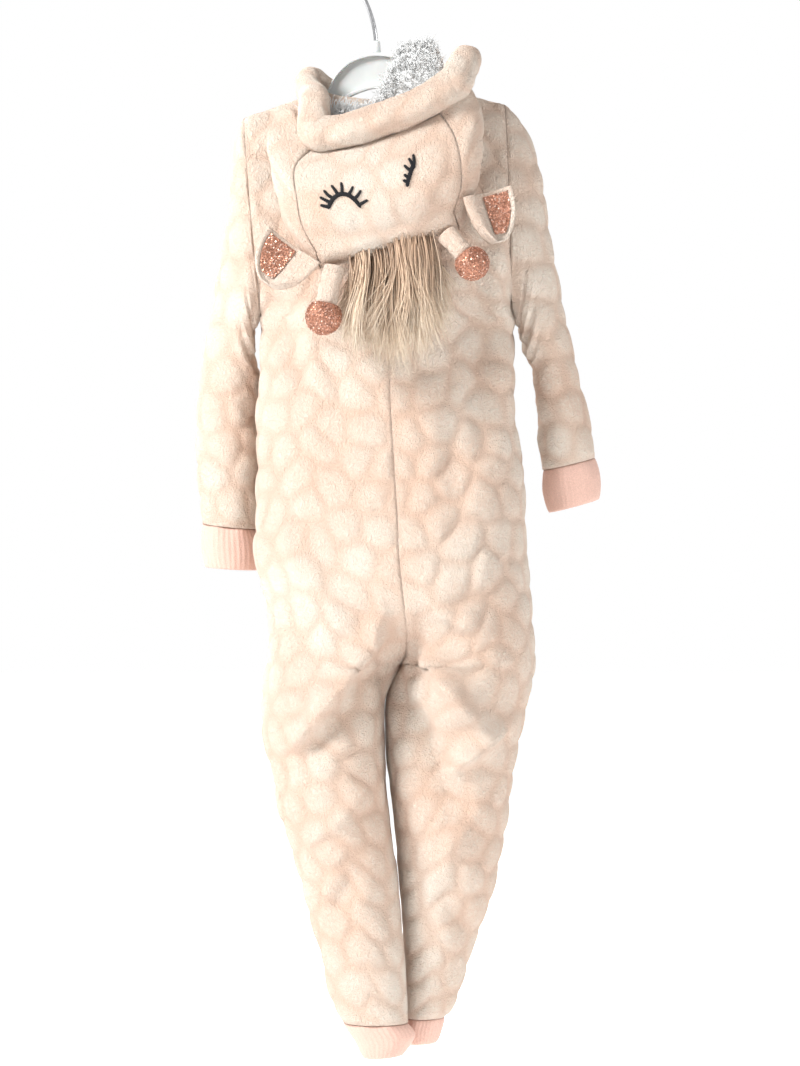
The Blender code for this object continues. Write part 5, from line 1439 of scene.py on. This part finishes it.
def hanger(plastic):
    """Moulded plate with a raised rim, and the short socket that the hook stands in."""
    x = np.linspace(HANGER[0].x, HANGER[-1].x, 121)
    top, bottom = along(HANGER, "x", "top", x), along(HANGER, "x", "bottom", x)
    end = np.minimum(np.abs(x - x[0]), np.abs(x - x[-1]))
    pinch = (top - bottom) / 2 * (1 - np.sqrt(np.clip(1 - (1 - end / 4) ** 2, 0.02, 1))) * (end < 4)
    thick, web = HANGER_THICK / 2, HANGER_WEB / 2
    rings = []
    for place, high, low in zip(x, top - pinch, bottom + pinch):
        rim = min(HANGER_RIM, (high - low) * 0.4)
        bend = min(HANGER_ROUND, rim * 0.4)
        corners = np.array([(thick, high), (-thick, high), (-thick, high - rim), (-web, high - rim),
                            (-web, low + rim), (-thick, low + rim), (-thick, low), (thick, low),
                            (thick, low + rim), (web, low + rim), (web, high - rim), (thick, high - rim)])
        ring = []
        for k, corner in enumerate(corners):
            before = corner + unit(corners[k - 1] - corner) * bend
            after = corner + unit(corners[(k + 1) % 12] - corner) * bend
            for t in np.linspace(0, 1, 5):
                ring.append(before * (1 - t) ** 2 + corner * 2 * t * (1 - t) + after * t * t)
        rings.append([(place, y, z) for y, z in ring])
    plate = rounded_grid("hanger_plate", np.array(rings))
    dress(plate, plastic, "hanger_plastic", "hanger")

    low = HANGER[8].top + SEAM_GAP
    tall = FERRULE_TOP - low
    bpy.ops.object.select_all(action="DESELECT")
    bpy.ops.mesh.primitive_cone_add(vertices=40, radius1=FERRULE_RADIUS * MM,
                                    radius2=FERRULE_RADIUS * 0.8 * MM, depth=tall * MM,
                                    location=(0, 0, (low + tall / 2) * MM))
    socket = bpy.context.object
    socket.name = "hook_socket"
    bpy.ops.object.transform_apply(location=True, rotation=True, scale=True)
    rounded_edges(socket, 0.8, 3)
    dress(socket, plastic, "hanger_plastic", "hook_ferrule")


def hook(chrome):
    """Bent wire hook whose inside top is the origin."""
    middle = np.array((0, 0, HOOK_WIRE - HOOK_RADIUS))
    start = math.radians(HOOK_START)
    meets = middle + np.array((math.cos(start), 0, math.sin(start))) * HOOK_RADIUS
    foot = np.array((0, 0, FERRULE_TOP + SEAM_GAP))
    path = []
    for t in np.arange(24) / 24:
        low = foot + np.array((0, 0, 26.0)) * t
        high = meets + np.array((math.sin(start), 0, -math.cos(start))) * 22 * (1 - t)
        path.append(low + (high - low) * t * t * (3 - 2 * t))
    for turn in np.radians(np.linspace(HOOK_START, HOOK_END, 80)):
        path.append(middle + np.array((math.cos(turn), 0, math.sin(turn))) * HOOK_RADIUS)
    curve = bpy.data.curves.new("hook_wire", "CURVE")
    curve.dimensions = "3D"
    curve.bevel_depth = HOOK_WIRE * MM
    curve.bevel_resolution = 6
    curve.use_fill_caps = True
    spline = curve.splines.new("POLY")
    spline.points.add(len(path) - 1)
    for point, place in zip(spline.points, path):
        point.co = (*(place * MM), 1)
    wire = bpy.data.objects.new("hook_wire", curve)
    bpy.context.scene.collection.objects.link(wire)
    only(wire)
    bpy.ops.object.convert(target="MESH")
    wire = bpy.context.object
    only(wire)
    bpy.ops.object.mode_set(mode="EDIT")
    bpy.ops.mesh.select_all(action="SELECT")
    bpy.ops.mesh.remove_doubles(threshold=1e-6)
    bpy.ops.mesh.normals_make_consistent(inside=False)
    bpy.ops.object.mode_set(mode="OBJECT")
    rounded_edges(wire, 0.5, 2, 60)
    dress(wire, chrome, "chrome", "hook")


def front_line(z):
    """Places of the centre front seam at heights."""
    z = np.minimum(np.asarray(z, float), ZIP_TOP)
    share = np.clip((z - NECK_FRONT[1]) / (FIRST_LEVEL - NECK_FRONT[1]), 0, 1)
    low = section(1, "front", 0.0, np.full(z.shape, FIRST_LEVEL))
    out = np.sqrt(np.maximum(0.0, 1 - (1 - share) ** 2))
    upper = stack(TORSO[0].seam + (low[..., 0] - TORSO[0].seam) * share,
                  NECK_FRONT[0] + (low[..., 1] - NECK_FRONT[0]) * out, z)
    lower = section(1, "front", 0.0, z)
    return np.where((z >= FIRST_LEVEL)[..., None], upper, lower)


def zip_pieces(tape, metal):
    """Woven tapes with a row of teeth each; the slider and its tab keep their own shape."""
    z = np.linspace(ZIP_TOP - 3, TAPE_END, 161)
    line = front_line(z)
    for name, side in (("zip_left", 1), ("zip_right", -1)):
        near, far = SEAM_GAP / 2 * side, (ZIP_HALF - 0.2) * side
        across = np.linspace(near, far, 7)
        rings = []
        for place in line:
            back = [(x, TAPE_LIFT) for x in across]
            front = [(x, TAPE_LIFT + TAPE_THICK - 0.2) for x in across[::-1]]
            rings.append([(place[0] + x, place[1] + y, place[2]) for x, y in back + front])
        piece = rounded_grid(name + "_tape", np.array(rings))
        dress(piece, tape, "zip_tape", name)

        points, faces = [], []
        count = int((z[0] - z[-1] - 14) / TOOTH_PITCH)
        for i in range(count):
            level = z[0] - 15 - (i + (0.5 if side < 0 else 0)) * TOOTH_PITCH
            if level < z[-1] + 2:
                continue
            place = front_line(np.array(level))
            first = len(points)
            for x in (-0.15 * side, 1.75 * side):
                for y in (0.35, -0.75):
                    for drop in (-0.55, 0.55):
                        pinch = 0.75 if y < 0 else 1.0
                        points.append(place + np.array((x * (0.9 if y < 0 else 1), y, drop * pinch)))
            for quad in ((0, 1, 3, 2), (4, 6, 7, 5), (0, 4, 5, 1), (2, 3, 7, 6), (0, 2, 6, 4), (1, 5, 7, 3)):
                faces.append(tuple(first + k for k in (quad if side > 0 else quad[::-1])))
        piece = toned(name + "_teeth", points, faces, np.zeros(len(points)), False)
        dress(piece, metal, "zip_metal")
    for name in ("zip_slider", "zip_pull_tab"):
        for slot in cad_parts[name].material_slots:
            slot.material = metal


def linear(colour):
    """Linear values of a colour's red, green and blue as screens show them, from 0 to 1."""
    return tuple(c / 12.92 if c <= 0.04045 else ((c + 0.055) / 1.055) ** 2.4 for c in colour)


class Value:
    """A node's output that adds Math nodes where an expression uses it."""

    def __init__(self, finish, socket):
        self.finish = finish
        self.socket = socket

    def math(self, operation, first, second):
        """Value of a Math node with that operation."""
        return self.finish.add("ShaderNodeMath", {"operation": operation}, {0: first, 1: second})

    def __add__(self, other):
        return self.math("ADD", self, other)

    def __radd__(self, other):
        return self.math("ADD", other, self)

    def __sub__(self, other):
        return self.math("SUBTRACT", self, other)

    def __rsub__(self, other):
        return self.math("SUBTRACT", other, self)

    def __mul__(self, other):
        return self.math("MULTIPLY", self, other)

    def __rmul__(self, other):
        return self.math("MULTIPLY", other, self)

    def __pow__(self, other):
        return self.math("POWER", self, other)

    def within(self, low, high):
        """0 where the value is low, 1 where it is high, and a smooth step between."""
        return self.finish.add("ShaderNodeMapRange", {"interpolation_type": "SMOOTHSTEP"},
                               {"Value": self, "From Min": low, "From Max": high})


def socket_name(key):
    """Name of the shader's socket for a keyword, such as Base Color for base_color."""
    return key.replace("_", " ").title().replace("Ior", "IOR")


class Finish:
    """A material on the Principled shader, with its nodes added by expressions."""

    def __init__(self, name, **constants):
        self.material = bpy.data.materials.new(name)
        self.material.use_nodes = True
        self.tree = self.material.node_tree
        self.shader = self.tree.nodes["Principled BSDF"]
        for key, value in constants.items():
            self.shader.inputs[socket_name(key)].default_value = value
        self.place = self.add("ShaderNodeTexCoord", {}, {}, "Object")

    def add(self, kind, settings, inputs, output=0):
        """New node with its settings and inputs; the Value of one of its outputs."""
        node = self.tree.nodes.new(kind)
        for key, value in settings.items():
            setattr(node, key, value)
        for key, value in inputs.items():
            if isinstance(value, Value):
                self.tree.links.new(value.socket, node.inputs[key])
            else:
                node.inputs[key].default_value = value
        return Value(self, node.outputs[output])

    def noise(self, scale, detail=2.0, distortion=0.0, roughness=0.5):
        """Noise over the piece's own coordinates, in metres."""
        return self.add("ShaderNodeTexNoise", {}, {
            "Vector": self.place, "Scale": scale, "Detail": detail,
            "Roughness": roughness, "Distortion": distortion})

    def attribute(self, name):
        """Value that the mesh carries at each point under that name."""
        return self.add("ShaderNodeAttribute", {"attribute_name": name}, {}, "Fac")

    def mixed(self, share, first, second):
        """Colour between two, each a Value or red, green and blue as screens show them."""
        ends = [c if isinstance(c, Value) else (*linear(c), 1.0) for c in (first, second)]
        return self.add("ShaderNodeMix", {"data_type": "RGBA"}, {0: share, 6: ends[0], 7: ends[1]}, 2)

    def bumped(self, height, distance, strength=1.0):
        """Normal of a surface with that height, in metres of distance."""
        return self.add("ShaderNodeBump", {}, {
            "Height": height, "Distance": distance, "Strength": strength}, "Normal")

    def done(self, **links):
        """Link the shader's inputs, and give the material back."""
        for key, value in links.items():
            self.tree.links.new(value.socket, self.shader.inputs[socket_name(key)])
        return self.material


def plush_finish(colours):
    """Short fleece with a fine soft pile: cream on the cobbles with a painted highlight on their tops, and
    peach painted shade in the grooves, along the seams, in broad random patches and in the low parts of the
    pile.
    """
    finish = Finish("embossed plush", roughness=0.95, sheen_weight=0.35, sheen_roughness=0.45,
                    sheen_tint=(1.0, 0.93, 0.86, 1.0), specular_ior_level=0.12)
    relief = finish.attribute("relief")
    broad = finish.noise(11.0, 2.0)
    tufts = finish.noise(300.0, 4.0, 0.9, 0.65)
    pile = finish.noise(820.0, 3.0, 0.4, 0.6)
    # Peach painted shade where the relief is low, in the grooves and along the seams, and in broad random
    # patches
    out = relief.within(0.0, 1.0) * 0.4 + broad.within(0.3, 0.7) * 0.6
    body = finish.mixed(out, colours.plush_groove, colours.plush_base)
    # Painted highlight on the cobbles' tops, where the tufts and broad noise are high
    lit = tufts.within(0.42, 0.72) * 0.55 + broad.within(0.45, 0.75) * 0.45
    body = finish.mixed(lit * relief * 0.9, body, colours.plush_tips)
    # Painted shade in the low parts of the fine pile
    body = finish.mixed(pile.within(0.46, 0.3) * 0.4, body, colours.plush_groove)
    height = tufts * 0.6 + pile * 0.4
    return finish.done(base_color=body, normal=finish.bumped(height, 0.0085, 1.0))


def rib_finish(colours):
    """Fine jersey rib, with painted shade in the low parts of its fine thread bump, and a broad random tone.
    """
    finish = Finish("ribbed jersey", roughness=0.9, sheen_weight=0.2, sheen_roughness=0.4,
                    specular_ior_level=0.15)
    threads = finish.noise(900.0, 3.0, 0.2)
    broad = finish.noise(40.0, 2.0)
    # Painted shade where the fine thread bump is low, and a broad random tone
    share = threads.within(0.35, 0.65) * 0.6 + broad * 0.4
    dark = tuple(c * 0.9 for c in colours.cuffs)
    body = finish.mixed(share, dark, colours.cuffs)
    return finish.done(base_color=body, normal=finish.bumped(threads, 0.0012, 0.7))


def sherpa_finish(colours):
    """White curly pile, with a cooler painted shade in its depths."""
    finish = Finish("curly sherpa", roughness=1.0, sheen_weight=0.4, sheen_roughness=0.5,
                    specular_ior_level=0.1)
    tufts = finish.noise(260.0, 4.0, 1.6, 0.6)
    fine = finish.noise(1300.0, 2.0)
    # Cool painted shade between the curls, where the tufts are low
    body = finish.mixed(tufts.within(0.36, 0.56), colours.sherpa_depths, colours.sherpa)
    return finish.done(base_color=body, normal=finish.bumped(tufts * 0.7 + fine * 0.3, 0.0035, 0.8))


def fur_finish(colours):
    """Long fur, darker at its roots and pale at its tips."""
    finish = Finish("long fur", roughness=0.62, sheen_weight=0.25, sheen_roughness=0.4,
                    specular_ior_level=0.4)
    tone = finish.attribute("tone")
    body = finish.mixed(tone.within(0.0, 0.5), colours.fur_roots, colours.fur)
    body = finish.mixed(tone.within(0.45, 1.0), body, colours.fur_tips)
    streaks = finish.noise(420.0, 3.0, 0.4)
    body = finish.mixed(streaks.within(0.6, 0.35) * 0.35, body, colours.fur_roots)
    return finish.done(base_color=body, normal=finish.bumped(streaks, 0.0006, 0.5))


def glitter_cloth(colours):
    """Rose gold cloth under the sequins."""
    finish = Finish("glitter cloth", roughness=0.5, metallic=0.3, specular_ior_level=0.5)
    grain = finish.noise(800.0, 3.0, 0.2)
    dark = tuple(c * 0.72 for c in colours.sequins)
    body = finish.mixed(grain.within(0.35, 0.65), dark, colours.sequins)
    return finish.done(base_color=body, normal=finish.bumped(grain, 0.0016, 1.0))


def sequin_finish(colours):
    """Small rose gold discs that don't all have one colour, with some painted pale as glints."""
    finish = Finish("rose gold sequins", roughness=0.34, metallic=0.75, specular_ior_level=0.6)
    tone = finish.attribute("tone")
    dark = tuple(c * 0.8 for c in colours.sequins)
    body = finish.mixed(tone.within(0.0, 0.7), dark, colours.sequins)
    # Some sequins painted pale as glints
    body = finish.mixed(tone.within(0.75, 1.0), body, colours.sequin_sparkle)
    rough = finish.noise(500.0, 2.0) * 0.25 + 0.24
    return finish.done(base_color=body, roughness=rough)


def thread_finish(colours):
    """Black embroidery thread."""
    finish = Finish("embroidery thread", roughness=0.6, specular_ior_level=0.25)
    fibres = finish.noise(1700.0, 2.0)
    light = tuple(min(1.0, c + 0.06) for c in colours.thread)
    body = finish.mixed(fibres.within(0.4, 0.7), colours.thread, light)
    return finish.done(base_color=body, normal=finish.bumped(fibres, 0.0006, 0.6))


def plastic_finish(colours):
    """Pale moulded plastic with faint flow marks and handling wear."""
    finish = Finish("moulded plastic", roughness=0.34, specular_ior_level=0.5,
                    subsurface_weight=0.12, subsurface_scale=0.004)
    flow = finish.noise(16.0, 3.0, 1.2)
    grain = finish.noise(420.0, 2.0)
    shaded = tuple(c * 0.94 for c in colours.hanger)
    body = finish.mixed(flow.within(0.3, 0.7), shaded, colours.hanger)
    rough = flow * 0.16 + grain * 0.08 + 0.24
    return finish.done(base_color=body, roughness=rough, normal=finish.bumped(grain, 0.0002, 0.3))


def chrome_finish(colours):
    """Bright plated wire with faint drawing marks."""
    finish = Finish("plated wire", metallic=1.0, roughness=0.16)
    marks = finish.noise(380.0, 3.0, 0.3)
    dark = tuple(c * 0.92 for c in colours.hook)
    body = finish.mixed(marks.within(0.3, 0.7), dark, colours.hook)
    return finish.done(base_color=body, roughness=marks * 0.14 + 0.1)


def zip_metal_finish(colours):
    """Warm nickel of the zip, with random marks in its colour and roughness."""
    finish = Finish("zip nickel", metallic=1.0, roughness=0.3)
    marks = finish.noise(700.0, 3.0, 0.3)
    dark = tuple(c * 0.84 for c in colours.zip_metal)
    body = finish.mixed(marks.within(0.3, 0.7), dark, colours.zip_metal)
    return finish.done(base_color=body, roughness=marks * 0.2 + 0.2)


def tape_finish(colours):
    """Woven zip tape in the colour of the plush."""
    finish = Finish("woven tape", roughness=0.85, sheen_weight=0.15, specular_ior_level=0.2)
    weave = finish.add("ShaderNodeTexWave", {"wave_type": "BANDS", "bands_direction": "Z"},
                       {"Vector": finish.place, "Scale": 300.0, "Distortion": 1.0})
    dark = tuple(c * 0.9 for c in colours.zip_tape)
    body = finish.mixed(weave.within(0.2, 0.8), dark, colours.zip_tape)
    return finish.done(base_color=body, normal=finish.bumped(weave, 0.0004, 0.6))


def floor_finish(colours):
    """Pale studio floor that fades into the light behind it."""
    finish = Finish("studio floor", roughness=0.9, emission_strength=0.5,
                    emission_color=(1.0, 1.0, 1.0, 1.0))
    cloudy = finish.noise(1.5, 2.0)
    body = finish.mixed(cloudy, tuple(c * 0.98 for c in colours.floor), colours.floor)
    return finish.done(base_color=body)


def stage_and_lights(settings):
    """Pale floor, soft lights and the camera at the photograph's angle."""
    bpy.ops.object.select_all(action="DESELECT")
    bpy.ops.mesh.primitive_plane_add(size=14, location=(0, 0, -1.3))
    floor = bpy.context.object
    floor.name = "studio_floor"
    bpy.ops.object.transform_apply(location=True, rotation=True, scale=True)
    floor.data.materials.append(floor_finish(settings))

    world = bpy.data.worlds.new("soft studio")
    world.use_nodes = True
    tree = world.node_tree
    room = tree.nodes["Background"]
    room.inputs["Color"].default_value = (1.0, 1.0, 1.0, 1.0)
    room.inputs["Strength"].default_value = settings.room_light
    wall = tree.nodes.new("ShaderNodeBackground")
    wall.inputs["Color"].default_value = (1.0, 1.0, 1.0, 1.0)
    path, both = tree.nodes.new("ShaderNodeLightPath"), tree.nodes.new("ShaderNodeMixShader")
    tree.links.new(path.outputs["Is Camera Ray"], both.inputs["Fac"])
    tree.links.new(room.outputs[0], both.inputs[1])
    tree.links.new(wall.outputs[0], both.inputs[2])
    tree.links.new(both.outputs[0], tree.nodes["World Output"].inputs["Surface"])
    scene = bpy.context.scene
    scene.world = world
    scene.view_settings.view_transform = "Standard"

    _, aim = camera_places()
    target = Vector(aim * MM)
    for name, place, size, share in (
            ("key light", (2.3, 1.5, 1.3), 1.0, 1.0),
            ("side light", (-2.4, 1.4, -0.1), 1.2, 0.16),
            ("front light", (0.8, -2.4, 0.8), 1.4, 0.6)):
        lamp = bpy.data.lights.new(name, "AREA")
        lamp.energy = settings.key_light * share
        lamp.size = size
        made = bpy.data.objects.new(name, lamp)
        made.location = place
        made.rotation_euler = (target - made.location).to_track_quat("-Z", "Y").to_euler()
        scene.collection.objects.link(made)

    eye, aim = camera_places()
    lens = bpy.data.cameras.new("photograph")
    lens.sensor_fit = "VERTICAL"
    lens.sensor_height = 36
    lens.lens = 36 * CAMERA_AWAY / (PHOTO[1] * PHOTO_SCALE)
    lens.clip_end = 100
    camera = bpy.data.objects.new("photograph", lens)
    camera.location = eye * MM
    camera.rotation_euler = Vector((aim - eye) * MM).to_track_quat("-Z", "Y").to_euler()
    scene.collection.objects.link(camera)
    scene.camera = camera


def colour(name, description, hexed):
    """Property for a colour, given as six hexadecimal digits."""
    value = tuple(int(hexed[i:i + 2], 16) / 255 for i in (0, 2, 4))
    return bpy.props.FloatVectorProperty(name=name, description=description, size=3, min=0.0, max=1.0,
                                         subtype="COLOR_GAMMA", default=value)


class OnesieClothSettings(bpy.types.PropertyGroup):
    """Sizes and colours of the cloth."""

    cobble_size: bpy.props.FloatProperty(
        name="Cobble size", description="Width of one embossed cobble of the plush",
        default=PEBBLE * MM, min=0.015, max=0.08, unit="LENGTH")
    cobble_height: bpy.props.FloatProperty(
        name="Cobble height", description="How far the cobbles stand out of their grooves",
        default=0.0034, min=0.0, max=0.008, unit="LENGTH")
    plush_base: colour("Plush", "Plush on the cobbles", "F1DDCB")
    # Painted highlight of the plush on its cobbles
    plush_tips: colour("Plush tips", "Plush where its pile catches the light", "F9F0E3")
    # Painted shade of the plush in its grooves and seams
    plush_groove: colour("Plush groove shade", "Painted shade of the plush in its grooves and seams", "E8C6AF")
    cuffs: colour("Cuffs", "Ribbed cuffs", "DDB7A8")
    sherpa: colour("Sherpa", "Curls of the hood's lining", "FBFBFA")
    # Painted shade between the lining's curls
    sherpa_depths: colour("Sherpa depths", "Painted shade between the lining's curls", "F1F3F3")


class OnesieTrimSettings(bpy.types.PropertyGroup):
    """Colours of the fur, sequins, thread, hanger and zip."""

    fur: colour("Fur", "Middle of the mane", "D3BAA0")
    fur_roots: colour("Fur roots", "Mane next to the crown", "BFA187")
    fur_tips: colour("Fur tips", "Ends of the mane", "EADCC7")
    sequins: colour("Sequins", "Ear insides and horn balls", "C58C73")
    # Pale colour painted on some sequins as glints
    sequin_sparkle: colour("Sequin sparkle", "Sequins painted pale as glints", "F3D6C6")
    thread: colour("Thread", "Embroidered eyelashes", "0C0C10")
    hanger: colour("Hanger", "Moulded hanger", "DDE1E0")
    hook: colour("Hook", "Plated hook", "E0E0E2")
    zip_metal: colour("Zip metal", "Teeth, slider and pull tab", "D8D2CA")
    zip_tape: colour("Zip tape", "Woven tape of the zip", "DDB094")


class OnesieStageSettings(bpy.types.PropertyGroup):
    """Light and floor of the studio."""

    floor: colour("Floor", "Studio floor", "FAFAFA")
    room_light: bpy.props.FloatProperty(
        name="Room light", description="Strength of the light from all round",
        default=0.52, min=0.0, max=4.0)
    key_light: bpy.props.FloatProperty(
        name="Key light", description="Power of the largest lamp",
        default=172.0, min=0.0, max=500.0, subtype="POWER")


FINISHES = {
    "embossed plush": (plush_finish, "onesie_cloth"),
    "ribbed jersey": (rib_finish, "onesie_cloth"),
    "curly sherpa": (sherpa_finish, "onesie_cloth"),
    "long fur": (fur_finish, "onesie_trim"),
    "glitter cloth": (glitter_cloth, "onesie_trim"),
    "rose gold sequins": (sequin_finish, "onesie_trim"),
    "embroidery thread": (thread_finish, "onesie_trim"),
    "moulded plastic": (plastic_finish, "onesie_trim"),
    "plated wire": (chrome_finish, "onesie_trim"),
    "zip nickel": (zip_metal_finish, "onesie_trim"),
    "woven tape": (tape_finish, "onesie_trim"),
}


def finish_for(context, name):
    """Material of that name, made from the scene's settings the first time."""
    if name in bpy.data.materials:
        return bpy.data.materials[name]
    make, group = FINISHES[name]
    return make(getattr(context.scene, group))


class ONESIE_OT_body(bpy.types.Operator):
    """Sew the two backs and two fronts from shoulder to ankle"""

    bl_idname = "onesie.body"
    bl_label = "Body panels"

    def execute(self, context):
        body_panels(finish_for(context, "embossed plush"), context.scene.onesie_cloth)
        return {"FINISHED"}


class ONESIE_OT_sleeves(bpy.types.Operator):
    """Sew both sleeves"""

    bl_idname = "onesie.sleeves"
    bl_label = "Sleeves"

    def execute(self, context):
        sleeves(finish_for(context, "embossed plush"), context.scene.onesie_cloth)
        return {"FINISHED"}


class ONESIE_OT_cuffs(bpy.types.Operator):
    """Knit the ribbed cuffs of wrists and ankles"""

    bl_idname = "onesie.cuffs"
    bl_label = "Cuffs"

    def execute(self, context):
        cuffs(finish_for(context, "ribbed jersey"))
        return {"FINISHED"}


class ONESIE_OT_hood(bpy.types.Operator):
    """Sew the hood's panels and stitch the closed eyes on them"""

    bl_idname = "onesie.hood"
    bl_label = "Hood and eyelashes"

    def execute(self, context):
        panels = hood_panels(finish_for(context, "embossed plush"), context.scene.onesie_cloth)
        lashes(panels, finish_for(context, "embroidery thread"))
        return {"FINISHED"}


class ONESIE_OT_band(bpy.types.Operator):
    """Roll the band round the hood's opening"""

    bl_idname = "onesie.band"
    bl_label = "Hood band"

    def execute(self, context):
        hood_band(finish_for(context, "embossed plush"))
        return {"FINISHED"}


class ONESIE_OT_lining(bpy.types.Operator):
    """Line the hood with curly sherpa"""

    bl_idname = "onesie.lining"
    bl_label = "Sherpa lining"

    def execute(self, context):
        hood_lining(finish_for(context, "curly sherpa"))
        return {"FINISHED"}


class ONESIE_OT_ears(bpy.types.Operator):
    """Make the plush ears with sequined insides"""

    bl_idname = "onesie.ears"
    bl_label = "Ears"

    def execute(self, context):
        ears(finish_for(context, "embossed plush"), finish_for(context, "glitter cloth"),
             finish_for(context, "rose gold sequins"))
        return {"FINISHED"}


class ONESIE_OT_horns(bpy.types.Operator):
    """Make the stuffed stems and their glitter balls"""

    bl_idname = "onesie.horns"
    bl_label = "Horns"

    def execute(self, context):
        horns(finish_for(context, "embossed plush"), finish_for(context, "glitter cloth"),
              finish_for(context, "rose gold sequins"))
        return {"FINISHED"}


class ONESIE_OT_mane(bpy.types.Operator):
    """Hang the long fur from the crown"""

    bl_idname = "onesie.mane"
    bl_label = "Mane"

    def execute(self, context):
        mane(finish_for(context, "long fur"))
        return {"FINISHED"}


class ONESIE_OT_hanger(bpy.types.Operator):
    """Mould the hanger and bend its hook"""

    bl_idname = "onesie.hanger"
    bl_label = "Hanger and hook"

    def execute(self, context):
        hanger(finish_for(context, "moulded plastic"))
        hook(finish_for(context, "plated wire"))
        return {"FINISHED"}


class ONESIE_OT_zip(bpy.types.Operator):
    """Lay the zip's tapes and teeth and finish its slider"""

    bl_idname = "onesie.zip"
    bl_label = "Zip"

    def execute(self, context):
        zip_pieces(finish_for(context, "woven tape"), finish_for(context, "zip nickel"))
        return {"FINISHED"}


class ONESIE_OT_stage(bpy.types.Operator):
    """Set the floor, the lights and the camera"""

    bl_idname = "onesie.stage"
    bl_label = "Stage"

    def execute(self, context):
        stage_and_lights(context.scene.onesie_stage)
        return {"FINISHED"}


OPERATORS = (ONESIE_OT_body, ONESIE_OT_sleeves, ONESIE_OT_cuffs, ONESIE_OT_hood, ONESIE_OT_band,
             ONESIE_OT_lining, ONESIE_OT_ears, ONESIE_OT_horns, ONESIE_OT_mane, ONESIE_OT_hanger,
             ONESIE_OT_zip, ONESIE_OT_stage)
SETTINGS = {"onesie_cloth": OnesieClothSettings, "onesie_trim": OnesieTrimSettings,
            "onesie_stage": OnesieStageSettings}


class ONESIE_PT_panel(bpy.types.Panel):
    """Steps and settings of the onesie"""

    bl_label = "Plush animal onesie"
    bl_idname = "ONESIE_PT_panel"
    bl_space_type = "VIEW_3D"
    bl_region_type = "UI"
    bl_category = "Onesie"

    def draw(self, context):
        """Rows of the panel: the settings, then the steps."""
        for group in SETTINGS:
            box = self.layout.box()
            for name in getattr(context.scene, group).bl_rna.properties.keys():
                if name not in ("rna_type", "name"):
                    box.prop(getattr(context.scene, group), name)
        for operator in OPERATORS:
            self.layout.operator(operator.bl_idname)


def register():
    """Add the settings, the steps and the panel to Blender."""
    for cls in (*SETTINGS.values(), *OPERATORS, ONESIE_PT_panel):
        bpy.utils.register_class(cls)
    for name, cls in SETTINGS.items():
        setattr(bpy.types.Scene, name, bpy.props.PointerProperty(type=cls))


def unregister():
    """Take them out again."""
    for name in SETTINGS:
        delattr(bpy.types.Scene, name)
    for cls in (ONESIE_PT_panel, *reversed(OPERATORS), *reversed(tuple(SETTINGS.values()))):
        bpy.utils.unregister_class(cls)


def main():
    """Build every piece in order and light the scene."""
    register()
    bpy.ops.onesie.body()
    bpy.ops.onesie.sleeves()
    bpy.ops.onesie.cuffs()
    bpy.ops.onesie.hood()
    bpy.ops.onesie.band()
    bpy.ops.onesie.lining()
    bpy.ops.onesie.ears()
    bpy.ops.onesie.horns()
    bpy.ops.onesie.mane()
    bpy.ops.onesie.hanger()
    bpy.ops.onesie.zip()
    bpy.ops.onesie.stage()


if __name__ == "__main__":
    main()
